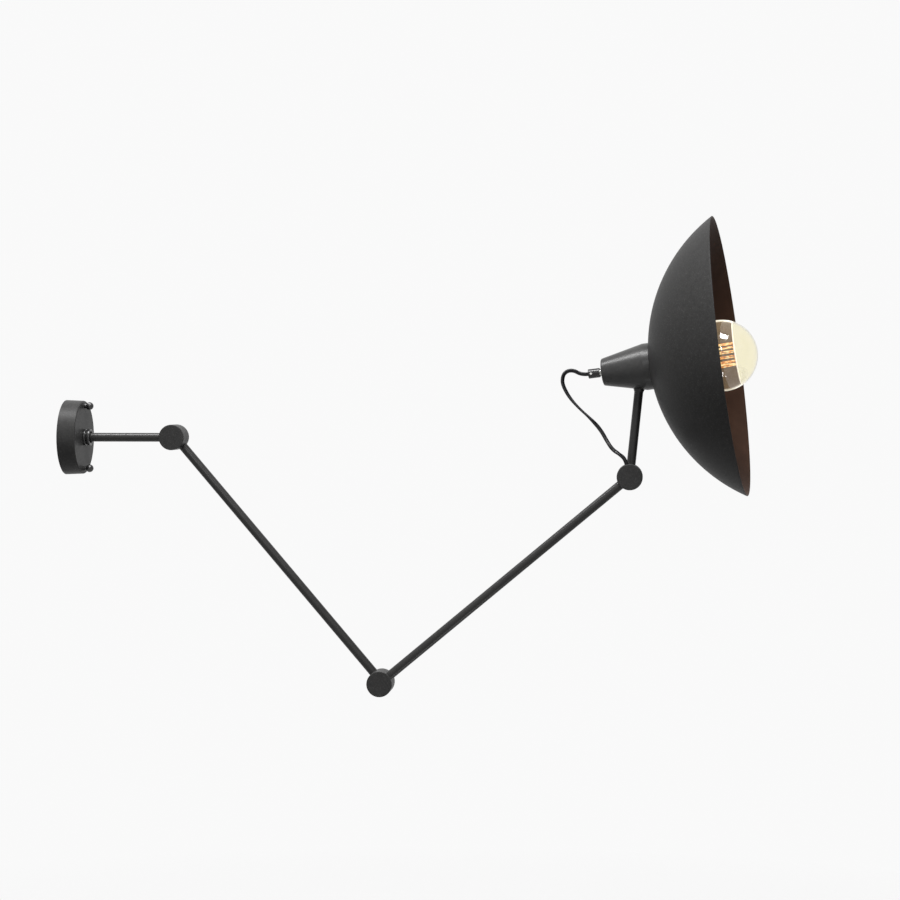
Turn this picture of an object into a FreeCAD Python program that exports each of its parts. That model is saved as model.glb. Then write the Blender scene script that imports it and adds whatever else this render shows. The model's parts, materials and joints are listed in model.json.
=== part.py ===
import FreeCAD, Part
import math
import os
import Sketcher
from FreeCAD import Placement, Rotation, Vector

# An articulating wall lamp: a round canopy, a swivelling rod, two long arms and a
# dished shade on a short stem, joined by three drum-shaped friction knuckles.
# Origin: centre of the canopy's back, on the wall. +X out of the wall, +Z up.
# The arms fold in the XZ plane; the fronts of the knuckles face -Y. Millimetres.

# ---------------------------------------------------------------- driving dimensions

DIMENSIONS = {
    # canopy and what is behind it
    "canopy_dia": 101.5,
    "canopy_front_dia": 99.5,
    "canopy_depth": 24.5,
    "canopy_wall": 1.5,
    "canopy_edge_round": 1.6,
    "stud_pitch": 85.0,
    "stud_dia": 4.0,
    "stud_in_nut": 8.0,
    "ball_dia": 10.6,
    "ball_neck_dia": 6.4,
    "ball_centre_height": 7.3,
    "strap_length": 93.0,
    "strap_width": 20.0,
    "strap_thick": 2.0,
    "ear_reach": 24.0,
    "ear_width": 20.0,
    "slot_pitch": 50.0,
    "slot_length": 16.0,
    "slot_width": 5.0,
    "block_width": 16.0,
    "block_length": 20.0,
    "block_height": 11.0,
    "block_pole_pitch": 9.0,
    "block_peg_dia": 3.6,
    "terminal_screw_dia": 3.0,
    "terminal_screw_pitch": 8.0,
    "wire_hole_dia": 2.6,
    # collar that the rod swivels in
    "collar_dia": 22.4,
    "collar_base_height": 3.3,
    "collar_groove_dia": 19.6,
    "collar_groove_height": 1.0,
    "collar_ring_height": 5.0,
    "collar_recess_dia": 16.6,
    "collar_recess_depth": 3.0,
    # hollow thread that every tube, pivot and the lampholder share
    "thread_dia": 9.9,
    "thread_bore_dia": 6.8,
    "thread_clearance": 0.05,
    "nut_flats": 14.0,
    "nut_height": 4.0,
    "nut_overhang": 1.2,
    "spring_washer_dia": 17.0,
    "spring_washer_thick": 1.0,
    "thread_grip": 15.0,
    # tubes
    "tube_dia": 12.0,
    "tube_wall": 1.0,
    "rod_to_shoulder": 146.8,
    "arm_centres": 436.5,
    "stem_length": 147.2,
    "stem_foot_dia": 15.4,
    "lead_dia": 5.2,
    "lead_end_gap": 0.1,
    # knuckles
    "knuckle_dia": 34.6,
    "half_thick": 17.0,
    "knuckle_gap": 0.6,
    "knuckle_round": 1.0,
    "socket_depth": 4.5,
    "socket_clearance": 0.05,
    "lead_hole_dia": 7.0,
    "pivot_blind_floor": 3.5,
    "pivot_grip": 4.4,
    "cavity_dia": 25.2,
    "cavity_floor": 4.0,
    "cap_dia": 28.0,
    "cap_thick": 2.0,
    "friction_washer_dia": 32.4,
    "cord_port_dia": 6.0,
    # head: cone, gland, lampholder
    "cone_small_dia": 36.0,
    "cone_large_dia": 62.6,
    "cone_band_length": 9.15,
    "cone_wall": 1.2,
    "cone_end_round": 2.6,
    "cone_band_round": 9.0,
    "cone_to_stem": 52.7,
    "gland_dia": 12.7,
    "gland_length": 15.7,
    "gland_standoff": 3.4,
    "gland_grip": 7.8,
    "gland_round": 0.5,
    "gland_screw_sunk": 0.4,
    "gland_screw_angle": 90.0,
    "cord_hole_clearance": 0.2,
    "gland_screw_dia": 3.0,
    "holder_dia": 39.4,
    "holder_wall": 1.8,
    "holder_flange_dia": 48.0,
    "holder_flange_thick": 3.0,
    "holder_cap_length": 10.4,
    "holder_cap_neck_dia": 16.0,
    "holder_cap_neck_length": 3.6,
    "holder_cap_grip": 5.4,
    "holder_start": -6.0,
    "holder_end": 44.0,
    "holder_floor_thick": 3.0,
    "contact_dia": 5.6,
    "contact_height": 2.6,
    "contact_gap": 0.15,
    "lamp_shell_bore_dia": 27.2,
    "lamp_shell_wall": 0.6,
    "lamp_shell_length": 26.0,
    # shade
    "shade_dia": 374.6,
    "shade_depth": 107.5,
    "shade_wall": 1.2,
    "shade_hole_clearance": 0.3,
    "shade_ring_clearance": 0.05,
    "shade_from_stem": 11.9,
    "shade_ring_dia": 53.0,
    "shade_ring_height": 6.0,
    # bulb
    "globe_dia": 95.0,
    "globe_wall": 0.8,
    "globe_from_stem": 108.5,
    "bulb_length": 138.0,
    "bulb_neck_dia": 24.6,
    "bulb_neck_straight": 2.6,
    "neck_in_base": 1.6,
    "mirror_from_centre": 19.0,
    "mirror_wall": 0.4,
    "base_dia": 26.2,
    "base_wall": 0.5,
    "base_length": 23.0,
    "base_shoulder": 2.0,
    "foot_height": 3.4,
    "foot_dia": 19.0,
    "foot_tip_dia": 9.5,
    "flare_dia": 18.0,
    "flare_length": 24.0,
    "flare_top_dia": 6.4,
    "flare_taper_length": 3.2,
    "mount_rod_dia": 3.2,
    "rod_above_centre": 19.4,
    "cage_dia": 30.0,
    "cage_length": 62.0,
    "cage_below_centre": 44.6,
    "filament_dia": 1.0,
    "hoop_wire_dia": 1.5,
    # angles, in degrees: as the lamp is posed
    "upper_arm_angle": -49.35,
    "fore_arm_angle": 39.8,
    "stem_angle": 84.0,
    "head_angle": 76.97,
    "head_turn": -6.6,
    "bulb_lean": 1.5,
    "cord_port_angle": 104.0,
}

FILAMENT_STRANDS = 10
FILAMENT_SPOKES = 3
HEX_CORNER = 2 / math.sqrt(3)

doc = FreeCAD.newDocument("wall_lamp")
sheet = doc.addObject("Spreadsheet::Sheet", "Sizes")
for row, (word, number) in enumerate(DIMENSIONS.items(), start=1):
    sheet.set(f"A{row}", word)
    sheet.set(f"B{row}", str(number))
    sheet.setAlias(f"B{row}", word)
doc.recompute()


class Size:
    """A length or an angle: its number, and the sheet expression that gives it."""

    def __init__(self, number, text):
        self.number = number
        self.text = text

    def __float__(self):
        return float(self.number)

    def __add__(self, other):
        other = as_size(other)
        return Size(self.number + other.number, f"({self.text} + {other.text})")

    def __sub__(self, other):
        other = as_size(other)
        return Size(self.number - other.number, f"({self.text} - {other.text})")

    def __mul__(self, other):
        other = as_size(other)
        return Size(self.number * other.number, f"({self.text} * {other.text})")

    def __truediv__(self, other):
        other = as_size(other)
        return Size(self.number / other.number, f"({self.text} / {other.text})")

    def __neg__(self):
        return self * -1


def as_size(value):
    return value if isinstance(value, Size) else Size(float(value), f"({float(value)!r})")


class Dimensions:
    """Each driving dimension as an attribute, tied to its cell."""


dim = Dimensions()
for word in DIMENSIONS:
    setattr(dim, word, Size(sheet.get(word), f"Sizes.{word}"))

subparts = []


def bind(feature, **properties):
    for name, size in properties.items():
        feature.setExpression(name, as_size(size).text)
    return feature


def keep(feature, label, placement=None):
    """Name a finished sub-part, put it in its place and list it for export."""
    feature.Label = label
    if placement is not None:
        feature.Placement = placement
    subparts.append(feature)
    return feature


# ---------------------------------------------------------------- places and directions


def in_plane(angle):
    """The direction in the arms' plane at an angle above +X."""
    turn = math.radians(float(angle))
    return Vector(math.cos(turn), 0, math.sin(turn))


def seat(origin, z_way, x_way):
    """A place with its Z along z_way and its X as near x_way as it can be."""
    z_axis = Vector(z_way).normalize()
    y_axis = z_axis.cross(x_way).normalize()
    x_axis = y_axis.cross(z_axis)
    turn = Rotation(x_axis, y_axis, z_axis, "ZXY")
    return Placement(origin, turn)


def lifted(height, place=None):
    """The place at a height along another place's own Z."""
    up = Placement(Vector(0, 0, float(height)), Rotation())
    return up if place is None else place.multiply(up)


def across(height, angle=0.0, start=0.0):
    """Inside a piece: a place at a height, looking outward at an angle about Z."""
    outward = Rotation(Vector(0, 0, 1), float(angle)).multVec(Vector(1, 0, 0))
    middle = Vector(0, 0, float(height))
    return Placement(middle + outward * float(start), Rotation(Vector(0, 0, 1), outward))


OUT = Vector(1, 0, 0)
BACK = Vector(0, 1, 0)
UP = Vector(0, 0, 1)

knuckle_radius = dim.knuckle_dia / 2
layer = dim.half_thick + dim.knuckle_gap
BEHIND = BACK * float(layer)

shoulder = OUT * float(dim.rod_to_shoulder)
elbow = shoulder + in_plane(dim.upper_arm_angle) * float(dim.arm_centres)
wrist = elbow + in_plane(dim.fore_arm_angle) * float(dim.arm_centres)
stem_way = in_plane(dim.stem_angle)
head_centre = wrist + BEHIND + stem_way * float(dim.stem_length)
head_way = Rotation(stem_way, float(dim.head_turn)).multVec(in_plane(dim.stem_angle - dim.head_angle))
head = seat(head_centre, head_way, stem_way)

# ---------------------------------------------------------------- ways of making a piece


def origin_plane(body, role):
    return next(plane for plane in body.Origin.OriginFeatures if plane.Role == role)


def pin_corner(sketch, edge, end, way, distance):
    """Fix one coordinate of a sketch point from the origin, by its named size."""
    distance = as_size(distance)
    if distance.number == 0:
        axis = -2 if way == "DistanceX" else -1
        sketch.addConstraint(Sketcher.Constraint("PointOnObject", edge, end, axis))
        return
    pin = sketch.addConstraint(Sketcher.Constraint(way, -1, 1, edge, end, distance.number))
    sketch.setExpression(f"Constraints[{pin}]", distance.text)


def middle_of_arc(first, last, radius):
    """The middle of the shorter arc; a positive radius bulges to the right of travel."""
    chord = last - first
    half = chord.Length / 2
    rise = abs(radius) - math.sqrt(radius * radius - half * half)
    right = Vector(chord.y, -chord.x, 0).normalize()
    return (first + last) / 2 + right * math.copysign(rise, radius)


def turned(label, outline):
    """A body turned about its own Z from (radius, height) corners, in order.

    A third entry bends the edge that leaves the corner to an arc of that radius."""
    body = doc.addObject("PartDesign::Body", label)
    sketch = body.newObject("Sketcher::SketchObject", label + "_outline")
    sketch.AttachmentSupport = (origin_plane(body, "XZ_Plane"), [""])
    sketch.MapMode = "FlatFace"
    corners = [Vector(float(corner[0]), float(corner[1]), 0) for corner in outline]
    count = len(corners)
    starts, ends = [], []
    for edge, corner in enumerate(outline):
        here, there = corners[edge], corners[(edge + 1) % count]
        bend = float(corner[2]) if len(corner) > 2 else 0.0
        if bend:
            curve = Part.Arc(here, middle_of_arc(here, there, bend), there)
        else:
            curve = Part.LineSegment(here, there)
        sketch.addGeometry(curve, False)
        starts.append(2 if bend < 0 else 1)
        ends.append(1 if bend < 0 else 2)
    for edge, corner in enumerate(outline):
        after = (edge + 1) % count
        joint = Sketcher.Constraint("Coincident", edge, ends[edge], after, starts[after])
        sketch.addConstraint(joint)
        pin_corner(sketch, edge, starts[edge], "DistanceX", corner[0])
        pin_corner(sketch, edge, starts[edge], "DistanceY", corner[1])
        if len(corner) > 2:
            bend = as_size(corner[2])
            bend = -bend if bend.number < 0 else bend
            arc = sketch.addConstraint(Sketcher.Constraint("Radius", edge, bend.number))
            sketch.setExpression(f"Constraints[{arc}]", bend.text)
    turn = body.newObject("PartDesign::Revolution", label + "_turn")
    turn.Profile = sketch
    turn.ReferenceAxis = (sketch, ["V_Axis"])
    turn.Angle = 360
    doc.recompute()
    return body


def rounded(body, size, *rims):
    """Round the circular edges of a turned body that lie at (radius, height)."""
    base = body.Tip
    near = 0.001
    names = []
    for number, edge in enumerate(base.Shape.Edges, start=1):
        if not isinstance(edge.Curve, Part.Circle):
            continue
        for radius, height in rims:
            same_radius = abs(edge.Curve.Radius - float(radius)) < near
            if same_radius and abs(edge.Curve.Center.z - float(height)) < near:
                names.append(f"Edge{number}")
    fillet = body.newObject("PartDesign::Fillet", body.Name + "_round")
    fillet.Base = (base, names)
    bind(fillet, Radius=size)
    doc.recompute()
    return body


def cylinder(radius, height, place=None):
    piece = doc.addObject("Part::Cylinder", "Cylinder")
    bind(piece, Radius=radius, Height=height)
    if place is not None:
        piece.Placement = place
    return piece


def box(length, width, height, corner):
    piece = doc.addObject("Part::Box", "Box")
    bind(piece, Length=length, Width=width, Height=height)
    piece.Placement = Placement(corner, Rotation())
    return piece


def fused(label, *pieces):
    joined = doc.addObject("Part::MultiFuse", label)
    joined.Shapes = list(pieces)
    return joined


def cut(label, base, *tools):
    result = doc.addObject("Part::Cut", label)
    result.Base = base
    result.Tool = tools[0] if len(tools) == 1 else fused(label + "_tools", *tools)
    return result


def pair(label, piece):
    """Two alike fasteners, mirrored across the lamp's level plane."""
    other = doc.addObject("Part::Mirroring", label + "_other")
    other.Source = piece
    other.Normal = UP
    both = doc.addObject("Part::Compound", label)
    both.Links = [piece, other]
    return both


thread_radius = dim.thread_dia / 2
thread_hole = thread_radius + dim.thread_clearance
tube_radius = dim.tube_dia / 2
tube_bore = tube_radius - dim.tube_wall
lead_radius = dim.lead_dia / 2


def ring(label, inner, outer, height):
    return turned(label, [(inner, 0), (outer, 0), (outer, height), (inner, height)])


def hollow_thread(label, length):
    return ring(label, dim.thread_bore_dia / 2, thread_radius, length)


def hex_nut(label):
    blank = doc.addObject("Part::Prism", label + "_blank")
    blank.Polygon = 6
    bind(blank, Circumradius=dim.nut_flats * HEX_CORNER / 2, Height=dim.nut_height)
    return cut(label, blank, cylinder(thread_hole, dim.nut_height))


def spring_washer(label):
    return ring(label, thread_hole, dim.spring_washer_dia / 2, dim.spring_washer_thick)


# ---------------------------------------------------------------- canopy


def make_canopy():
    back, front, wall = dim.canopy_dia / 2, dim.canopy_front_dia / 2, dim.canopy_wall
    inside = dim.canopy_depth - wall
    shell = turned(
        "canopy_shell",
        [
            (thread_hole, inside),
            (front - wall, inside),
            (back - wall, 0),
            (back, 0),
            (front, dim.canopy_depth),
            (thread_hole, dim.canopy_depth),
        ],
    )
    rounded(shell, dim.canopy_edge_round, (front, dim.canopy_depth))
    stud_hole = dim.stud_dia / 2 + dim.thread_clearance
    holes = []
    for side in (-1, 1):
        hole = cylinder(stud_hole, dim.canopy_depth)
        hole.Placement = Placement(Vector(side * float(dim.stud_pitch) / 2, 0, 0), Rotation())
        holes.append(hole)
    keep(cut("canopy", shell, *holes), "canopy", seat(Vector(), OUT, UP))


def make_canopy_fasteners():
    stud_z = UP * (float(dim.stud_pitch) / 2)
    reach = dim.canopy_depth + dim.stud_in_nut
    stud = cylinder(dim.stud_dia / 2, reach, seat(stud_z, OUT, UP))
    keep(pair("canopy_studs", stud), "canopy_studs")

    neck = cylinder(dim.ball_neck_dia / 2, dim.ball_centre_height)
    ball = doc.addObject("Part::Sphere", "Sphere")
    bind(ball, Radius=dim.ball_dia / 2)
    ball.Placement = lifted(dim.ball_centre_height)
    bore = cylinder(dim.stud_dia / 2 + dim.thread_clearance, dim.stud_in_nut + dim.thread_clearance)
    nut = cut("ball_nut", fused("ball_nut_solid", neck, ball), bore)
    nut.Placement = seat(stud_z + OUT * float(dim.canopy_depth), OUT, UP)
    keep(pair("ball_nuts", nut), "ball_nuts")


def make_slot(height):
    """A rounded slot through the strap, centred at a height."""
    reach = (dim.slot_length - dim.slot_width) / 2
    low = Vector(0, -float(dim.slot_width) / 2, height - float(reach))
    middle = box(dim.strap_thick, dim.slot_width, reach * 2, low)
    ends = []
    for side in (-1, 1):
        centre = UP * (height + side * float(reach))
        ends.append(cylinder(dim.slot_width / 2, dim.strap_thick, seat(centre, OUT, UP)))
    return fused("slot", middle, *ends)


def make_bracket():
    thick, width = dim.strap_thick, dim.strap_width
    strap = box(thick, width, dim.strap_length, Vector(0, -float(width) / 2, -float(dim.strap_length) / 2))
    ear_low = Vector(0, 0, -float(dim.ear_width) / 2)
    ear = box(thick, width / 2 + dim.ear_reach, dim.ear_width, ear_low)
    tools = [make_slot(side * float(dim.slot_pitch) / 2) for side in (-1, 1)]
    for side in (-1, 1):
        stud_place = seat(UP * (side * float(dim.stud_pitch) / 2), OUT, UP)
        tools.append(cylinder(dim.stud_dia / 2 + dim.thread_clearance, thick, stud_place))
    peg_place = seat(BACK * float(block_centre()), OUT, UP)
    tools.append(cylinder(dim.block_peg_dia / 2 + dim.thread_clearance, thick, peg_place))
    keep(cut("wall_bracket", fused("bracket_plate", strap, ear), *tools), "wall_bracket")


def block_centre():
    """How far behind the lamp's plane the terminal block stands, on the ear."""
    return dim.strap_width / 2 + dim.ear_reach - dim.block_width / 2 - dim.socket_depth


def make_terminal_block():
    centre = Vector(float(dim.strap_thick), float(block_centre()), 0)
    low = centre - Vector(0, float(dim.block_width) / 2, float(dim.block_length) / 2)
    body = box(dim.block_height, dim.block_width, dim.block_length, low)
    peg_foot = centre - OUT * float(dim.strap_thick)
    peg = cylinder(dim.block_peg_dia / 2, dim.strap_thick, seat(peg_foot, OUT, UP))
    screw_hole = dim.terminal_screw_dia / 2 + dim.thread_clearance
    wire_height = float(dim.block_height) / 2
    tools, screws = [], []
    for pole in (-1, 1):
        pole_place = centre + UP * (pole * float(dim.block_pole_pitch) / 2)
        wire_start = pole_place + Vector(wire_height, -float(dim.block_width) / 2, 0)
        tools.append(cylinder(dim.wire_hole_dia / 2, dim.block_width, seat(wire_start, BACK, UP)))
        for side in (-1, 1):
            start = pole_place + OUT * wire_height + BACK * (side * float(dim.terminal_screw_pitch) / 2)
            tools.append(cylinder(screw_hole, dim.block_height / 2, seat(start, OUT, UP)))
            grip = start + OUT * (float(dim.wire_hole_dia) / 2)
            length = dim.block_height / 2 - dim.wire_hole_dia
            screws.append(cylinder(dim.terminal_screw_dia / 2, length, seat(grip, OUT, UP)))
    keep(cut("terminal_block", fused("block_solid", body, peg), *tools), "terminal_block")
    group = doc.addObject("Part::Compound", "terminal_screws")
    group.Links = screws
    keep(group, "terminal_screws")


# ---------------------------------------------------------------- collar and wall rod

ring_seat = dim.canopy_depth + dim.collar_base_height + dim.collar_groove_height
rod_start = ring_seat + dim.collar_ring_height - dim.collar_recess_depth
tube_seat = knuckle_radius - dim.socket_depth
swivel_washer_at = dim.canopy_depth - dim.canopy_wall - dim.spring_washer_thick
swivel_nut_at = swivel_washer_at - dim.nut_height
rod_thread_at = swivel_nut_at - dim.nut_overhang


def make_collar():
    outer, groove = dim.collar_dia / 2, dim.collar_groove_dia / 2
    base_top = dim.collar_base_height + dim.collar_groove_height
    base = turned(
        "collar_base",
        [
            (thread_hole, 0),
            (outer, 0),
            (outer, dim.collar_base_height),
            (groove, dim.collar_base_height),
            (groove, base_top),
            (thread_hole, base_top),
        ],
    )
    keep(base, "collar_base", seat(OUT * float(dim.canopy_depth), OUT, UP))
    floor = dim.collar_ring_height - dim.collar_recess_depth
    recess = dim.collar_recess_dia / 2
    cup = turned(
        "collar_ring",
        [
            (thread_hole, 0),
            (outer, 0),
            (outer, dim.collar_ring_height),
            (recess, dim.collar_ring_height),
            (recess, floor),
            (thread_hole, floor),
        ],
    )
    keep(cup, "collar_ring", seat(OUT * float(ring_seat), OUT, UP))


def make_wall_rod():
    place = seat(Vector(), OUT, UP)
    tube = ring("wall_rod", tube_bore, tube_radius, dim.rod_to_shoulder - tube_seat - rod_start)
    keep(tube, "wall_rod", lifted(rod_start, place))
    thread = hollow_thread("rod_thread", rod_start + dim.thread_grip - rod_thread_at)
    keep(thread, "rod_thread", lifted(rod_thread_at, place))
    keep(spring_washer("swivel_washer"), "swivel_washer", lifted(swivel_washer_at, place))
    keep(hex_nut("swivel_nut"), "swivel_nut", lifted(swivel_nut_at, place))


# ---------------------------------------------------------------- knuckles

half_middle = dim.half_thick / 2
rear_start = dim.half_thick + dim.knuckle_gap
pivot_start = dim.half_thick - dim.pivot_grip
knuckle_washer_at = rear_start + dim.cavity_floor
knuckle_nut_at = knuckle_washer_at + dim.spring_washer_thick
pivot_end = knuckle_nut_at + dim.nut_height + dim.nut_overhang
cap_start = dim.half_thick - dim.cap_thick


def tube_socket():
    """The round seat in a knuckle's side that a tube's end is brazed into."""
    mouth = across(half_middle, 0, tube_seat)
    return cylinder(tube_radius + dim.socket_clearance, dim.socket_depth * 2, mouth)


def make_front_half(name, place, port_angle=None):
    """The half with the plain closed face: pivot hole from behind, tube at its side."""
    drum = turned(
        name + "_front_drum",
        [
            (0, 0),
            (knuckle_radius, 0),
            (knuckle_radius, dim.half_thick),
            (thread_hole, dim.half_thick),
            (thread_hole, dim.pivot_blind_floor),
            (0, dim.pivot_blind_floor),
        ],
    )
    rounded(drum, dim.knuckle_round, (knuckle_radius, 0))
    lead_way = cylinder(dim.lead_hole_dia / 2, knuckle_radius, across(half_middle))
    tools = [tube_socket(), lead_way]
    if port_angle is not None:
        reach = knuckle_radius + dim.socket_depth
        tools.append(cylinder(dim.cord_port_dia / 2, reach, across(half_middle, port_angle)))
    keep(cut(name + "_front_half", drum, *tools), name + "_front_half", place)


def make_rear_half(name, place):
    """The half that turns on the pivot: a floor with the running hole, a wire cavity."""
    cavity, recess = dim.cavity_dia / 2, dim.cap_dia / 2 + dim.socket_clearance
    drum = turned(
        name + "_rear_drum",
        [
            (thread_hole, 0),
            (knuckle_radius, 0),
            (knuckle_radius, dim.half_thick),
            (recess, dim.half_thick),
            (recess, cap_start),
            (cavity, cap_start),
            (cavity, dim.cavity_floor),
            (thread_hole, dim.cavity_floor),
        ],
    )
    rounded(drum, dim.knuckle_round, (knuckle_radius, dim.half_thick))
    lead_way = cylinder(tube_bore, dim.socket_depth, across(half_middle, 0, tube_seat - dim.socket_depth))
    keep(cut(name + "_rear_half", drum, tube_socket(), lead_way), name + "_rear_half", place)
    cap = turned(
        name + "_rear_cap",
        [
            (0, 0),
            (dim.cap_dia / 2, 0),
            (dim.cap_dia / 2, dim.cap_thick),
            (0, dim.cap_thick),
        ],
    )
    keep(cap, name + "_rear_cap", lifted(cap_start, place))


def make_knuckle(name, centre, front_way, rear_way, port_angle=None):
    face = centre - BACK * float(half_middle)
    front = seat(face, BACK, front_way)
    make_front_half(name, front, port_angle)
    make_rear_half(name, lifted(rear_start, seat(face, BACK, rear_way)))
    pivot = hollow_thread(name + "_pivot", pivot_end - pivot_start)
    keep(pivot, name + "_pivot", lifted(pivot_start, front))
    washer = ring(name + "_friction_washer", thread_hole, dim.friction_washer_dia / 2, dim.knuckle_gap)
    keep(washer, name + "_friction_washer", lifted(dim.half_thick, front))
    spring = spring_washer(name + "_spring_washer")
    keep(spring, name + "_spring_washer", lifted(knuckle_washer_at, front))
    keep(hex_nut(name + "_nut"), name + "_nut", lifted(knuckle_nut_at, front))


# ---------------------------------------------------------------- how the head fits

rim_radius = dim.shade_dia / 2
shade_radius = (rim_radius * rim_radius / dim.shade_depth + dim.shade_depth) / 2


def shade_drop(radius, wall=0.0):
    """How far the dome's surface lies in front of its outer apex, at a radius."""
    ball = float(shade_radius) - float(wall)
    return float(shade_radius) - math.sqrt(ball ** 2 - float(radius) ** 2)


# The cone's band stands on the dome, and its slope takes the length that is left.
band_inside = dim.cone_large_dia / 2 - dim.cone_wall
band_seat = dim.shade_from_stem + shade_drop(band_inside) - dim.thread_clearance
cone_length = dim.cone_to_stem + band_seat
cone_slope_length = cone_length - dim.cone_band_length
globe_radius = dim.globe_dia / 2
lamp_tip = dim.globe_from_stem + globe_radius - dim.bulb_length

# ---------------------------------------------------------------- arms and stem


def make_arm(label, start, way):
    tube = ring(label, tube_bore, tube_radius, dim.arm_centres - tube_seat * 2)
    keep(tube, label, lifted(tube_seat, seat(start, way, BACK)))


cone_slope = (dim.cone_large_dia - dim.cone_small_dia) / 2 / cone_slope_length
cone_half_angle = math.atan(float(cone_slope))
cone_radius_at_stem = dim.cone_small_dia / 2 + dim.cone_to_stem * cone_slope
stem_to_cone = float(cone_radius_at_stem) * math.cos(cone_half_angle)
stem_frame = seat(wrist + BEHIND, stem_way, BACK)


def make_stem():
    """The short tube under the head, its top flared and saddled to the cone's side."""
    top = dim.stem_length - cone_radius_at_stem + dim.cone_wall
    flare_start = top - dim.socket_depth
    tube = turned(
        "stem_blank",
        [
            (tube_bore, tube_seat),
            (tube_radius, tube_seat),
            (tube_radius, flare_start),
            (dim.stem_foot_dia / 2, top),
            (tube_bore, top),
        ],
    )
    saddle = doc.addObject("Part::Cone", "Cone")
    bind(
        saddle,
        Radius1=dim.cone_small_dia / 2 + dim.socket_clearance,
        Radius2=dim.cone_large_dia / 2 + dim.socket_clearance,
        Height=cone_slope_length,
    )
    saddle.Placement = stem_frame.inverse().multiply(lifted(-dim.cone_to_stem, head))
    keep(cut("stem_tube", tube, saddle), "stem_tube", stem_frame)

    flat_reach = stem_to_cone - float(dim.cone_wall)
    nut_corner = float(dim.nut_flats) * HEX_CORNER / 2
    nut_seat = math.sqrt(flat_reach ** 2 - nut_corner ** 2) - float(dim.thread_clearance)
    nut_at = float(dim.stem_length) - nut_seat
    thread_end = nut_at + float(dim.nut_height + dim.nut_overhang)
    thread_at = float(dim.stem_length) - stem_to_cone - float(dim.thread_grip)
    thread = ring("stem_thread", dim.thread_bore_dia / 2, thread_radius, thread_end - thread_at)
    keep(thread, "stem_thread", lifted(thread_at, stem_frame))
    keep(hex_nut("stem_nut"), "stem_nut", lifted(nut_at, stem_frame))


# ---------------------------------------------------------------- head


def make_cone():
    """The cover behind the shade: a turned cone whose band stands on the dome."""
    small, large, wall = dim.cone_small_dia / 2, dim.cone_large_dia / 2, dim.cone_wall
    shell = turned(
        "cone_shell",
        [
            (thread_hole, 0),
            (small, 0),
            (large, cone_slope_length),
            (large, cone_length),
            (band_inside, cone_length),
            (band_inside, cone_slope_length),
            (small - wall, wall),
            (thread_hole, wall),
        ],
    )
    rounded(shell, dim.cone_end_round, (small, 0))
    rounded(shell, dim.cone_band_round, (large, cone_slope_length))
    hole = cylinder(thread_hole, cone_radius_at_stem + dim.cone_wall)
    into_cone = lifted(-dim.cone_to_stem, head).inverse()
    hole.Placement = into_cone.multiply(seat(head_centre, -stem_way, BACK))
    keep(cut("head_cone", shell, hole), "head_cone", lifted(-dim.cone_to_stem, head))


gland_face = -(dim.cone_to_stem + dim.gland_standoff)
gland_back = gland_face - dim.gland_length
gland_floor = dim.gland_length - dim.gland_grip
holder_cap_at = dim.holder_start - dim.holder_cap_length
head_thread_at = gland_face - dim.gland_grip
head_thread_end = holder_cap_at + dim.holder_cap_grip
shade_hole = dim.holder_dia / 2 + dim.shade_hole_clearance


def make_gland():
    """The cord grip screwed on the head's hollow thread, with its clamp screw."""
    cord_hole = lead_radius + dim.cord_hole_clearance
    body = turned(
        "gland_turned",
        [
            (cord_hole, 0),
            (dim.gland_dia / 2, 0),
            (dim.gland_dia / 2, dim.gland_length),
            (thread_hole, dim.gland_length),
            (thread_hole, gland_floor),
            (cord_hole, gland_floor),
        ],
    )
    rounded(body, dim.gland_round, (dim.gland_dia / 2, 0), (dim.gland_dia / 2, dim.gland_length))
    hole_radius = dim.gland_screw_dia / 2 + dim.thread_clearance
    screw_height = gland_floor / 2
    hole = cylinder(hole_radius, dim.gland_dia / 2, across(screw_height, dim.gland_screw_angle))
    place = lifted(gland_back, head)
    keep(cut("cord_gland", body, hole), "cord_gland", place)
    length = dim.gland_dia / 2 - cord_hole - dim.gland_screw_sunk
    screw = cylinder(dim.gland_screw_dia / 2, length)
    screw_place = place.multiply(across(screw_height, dim.gland_screw_angle, cord_hole))
    keep(screw, "gland_screw", screw_place)


def make_head_thread():
    thread = hollow_thread("head_thread", head_thread_end - head_thread_at)
    keep(thread, "head_thread", lifted(head_thread_at, head))
    nut_at = dim.cone_wall - dim.cone_to_stem
    keep(hex_nut("head_nut"), "head_nut", lifted(nut_at, head))


flange_front = dim.shade_from_stem + shade_drop(shade_hole)
holder_floor_top = lamp_tip - dim.contact_height - dim.contact_gap


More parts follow.
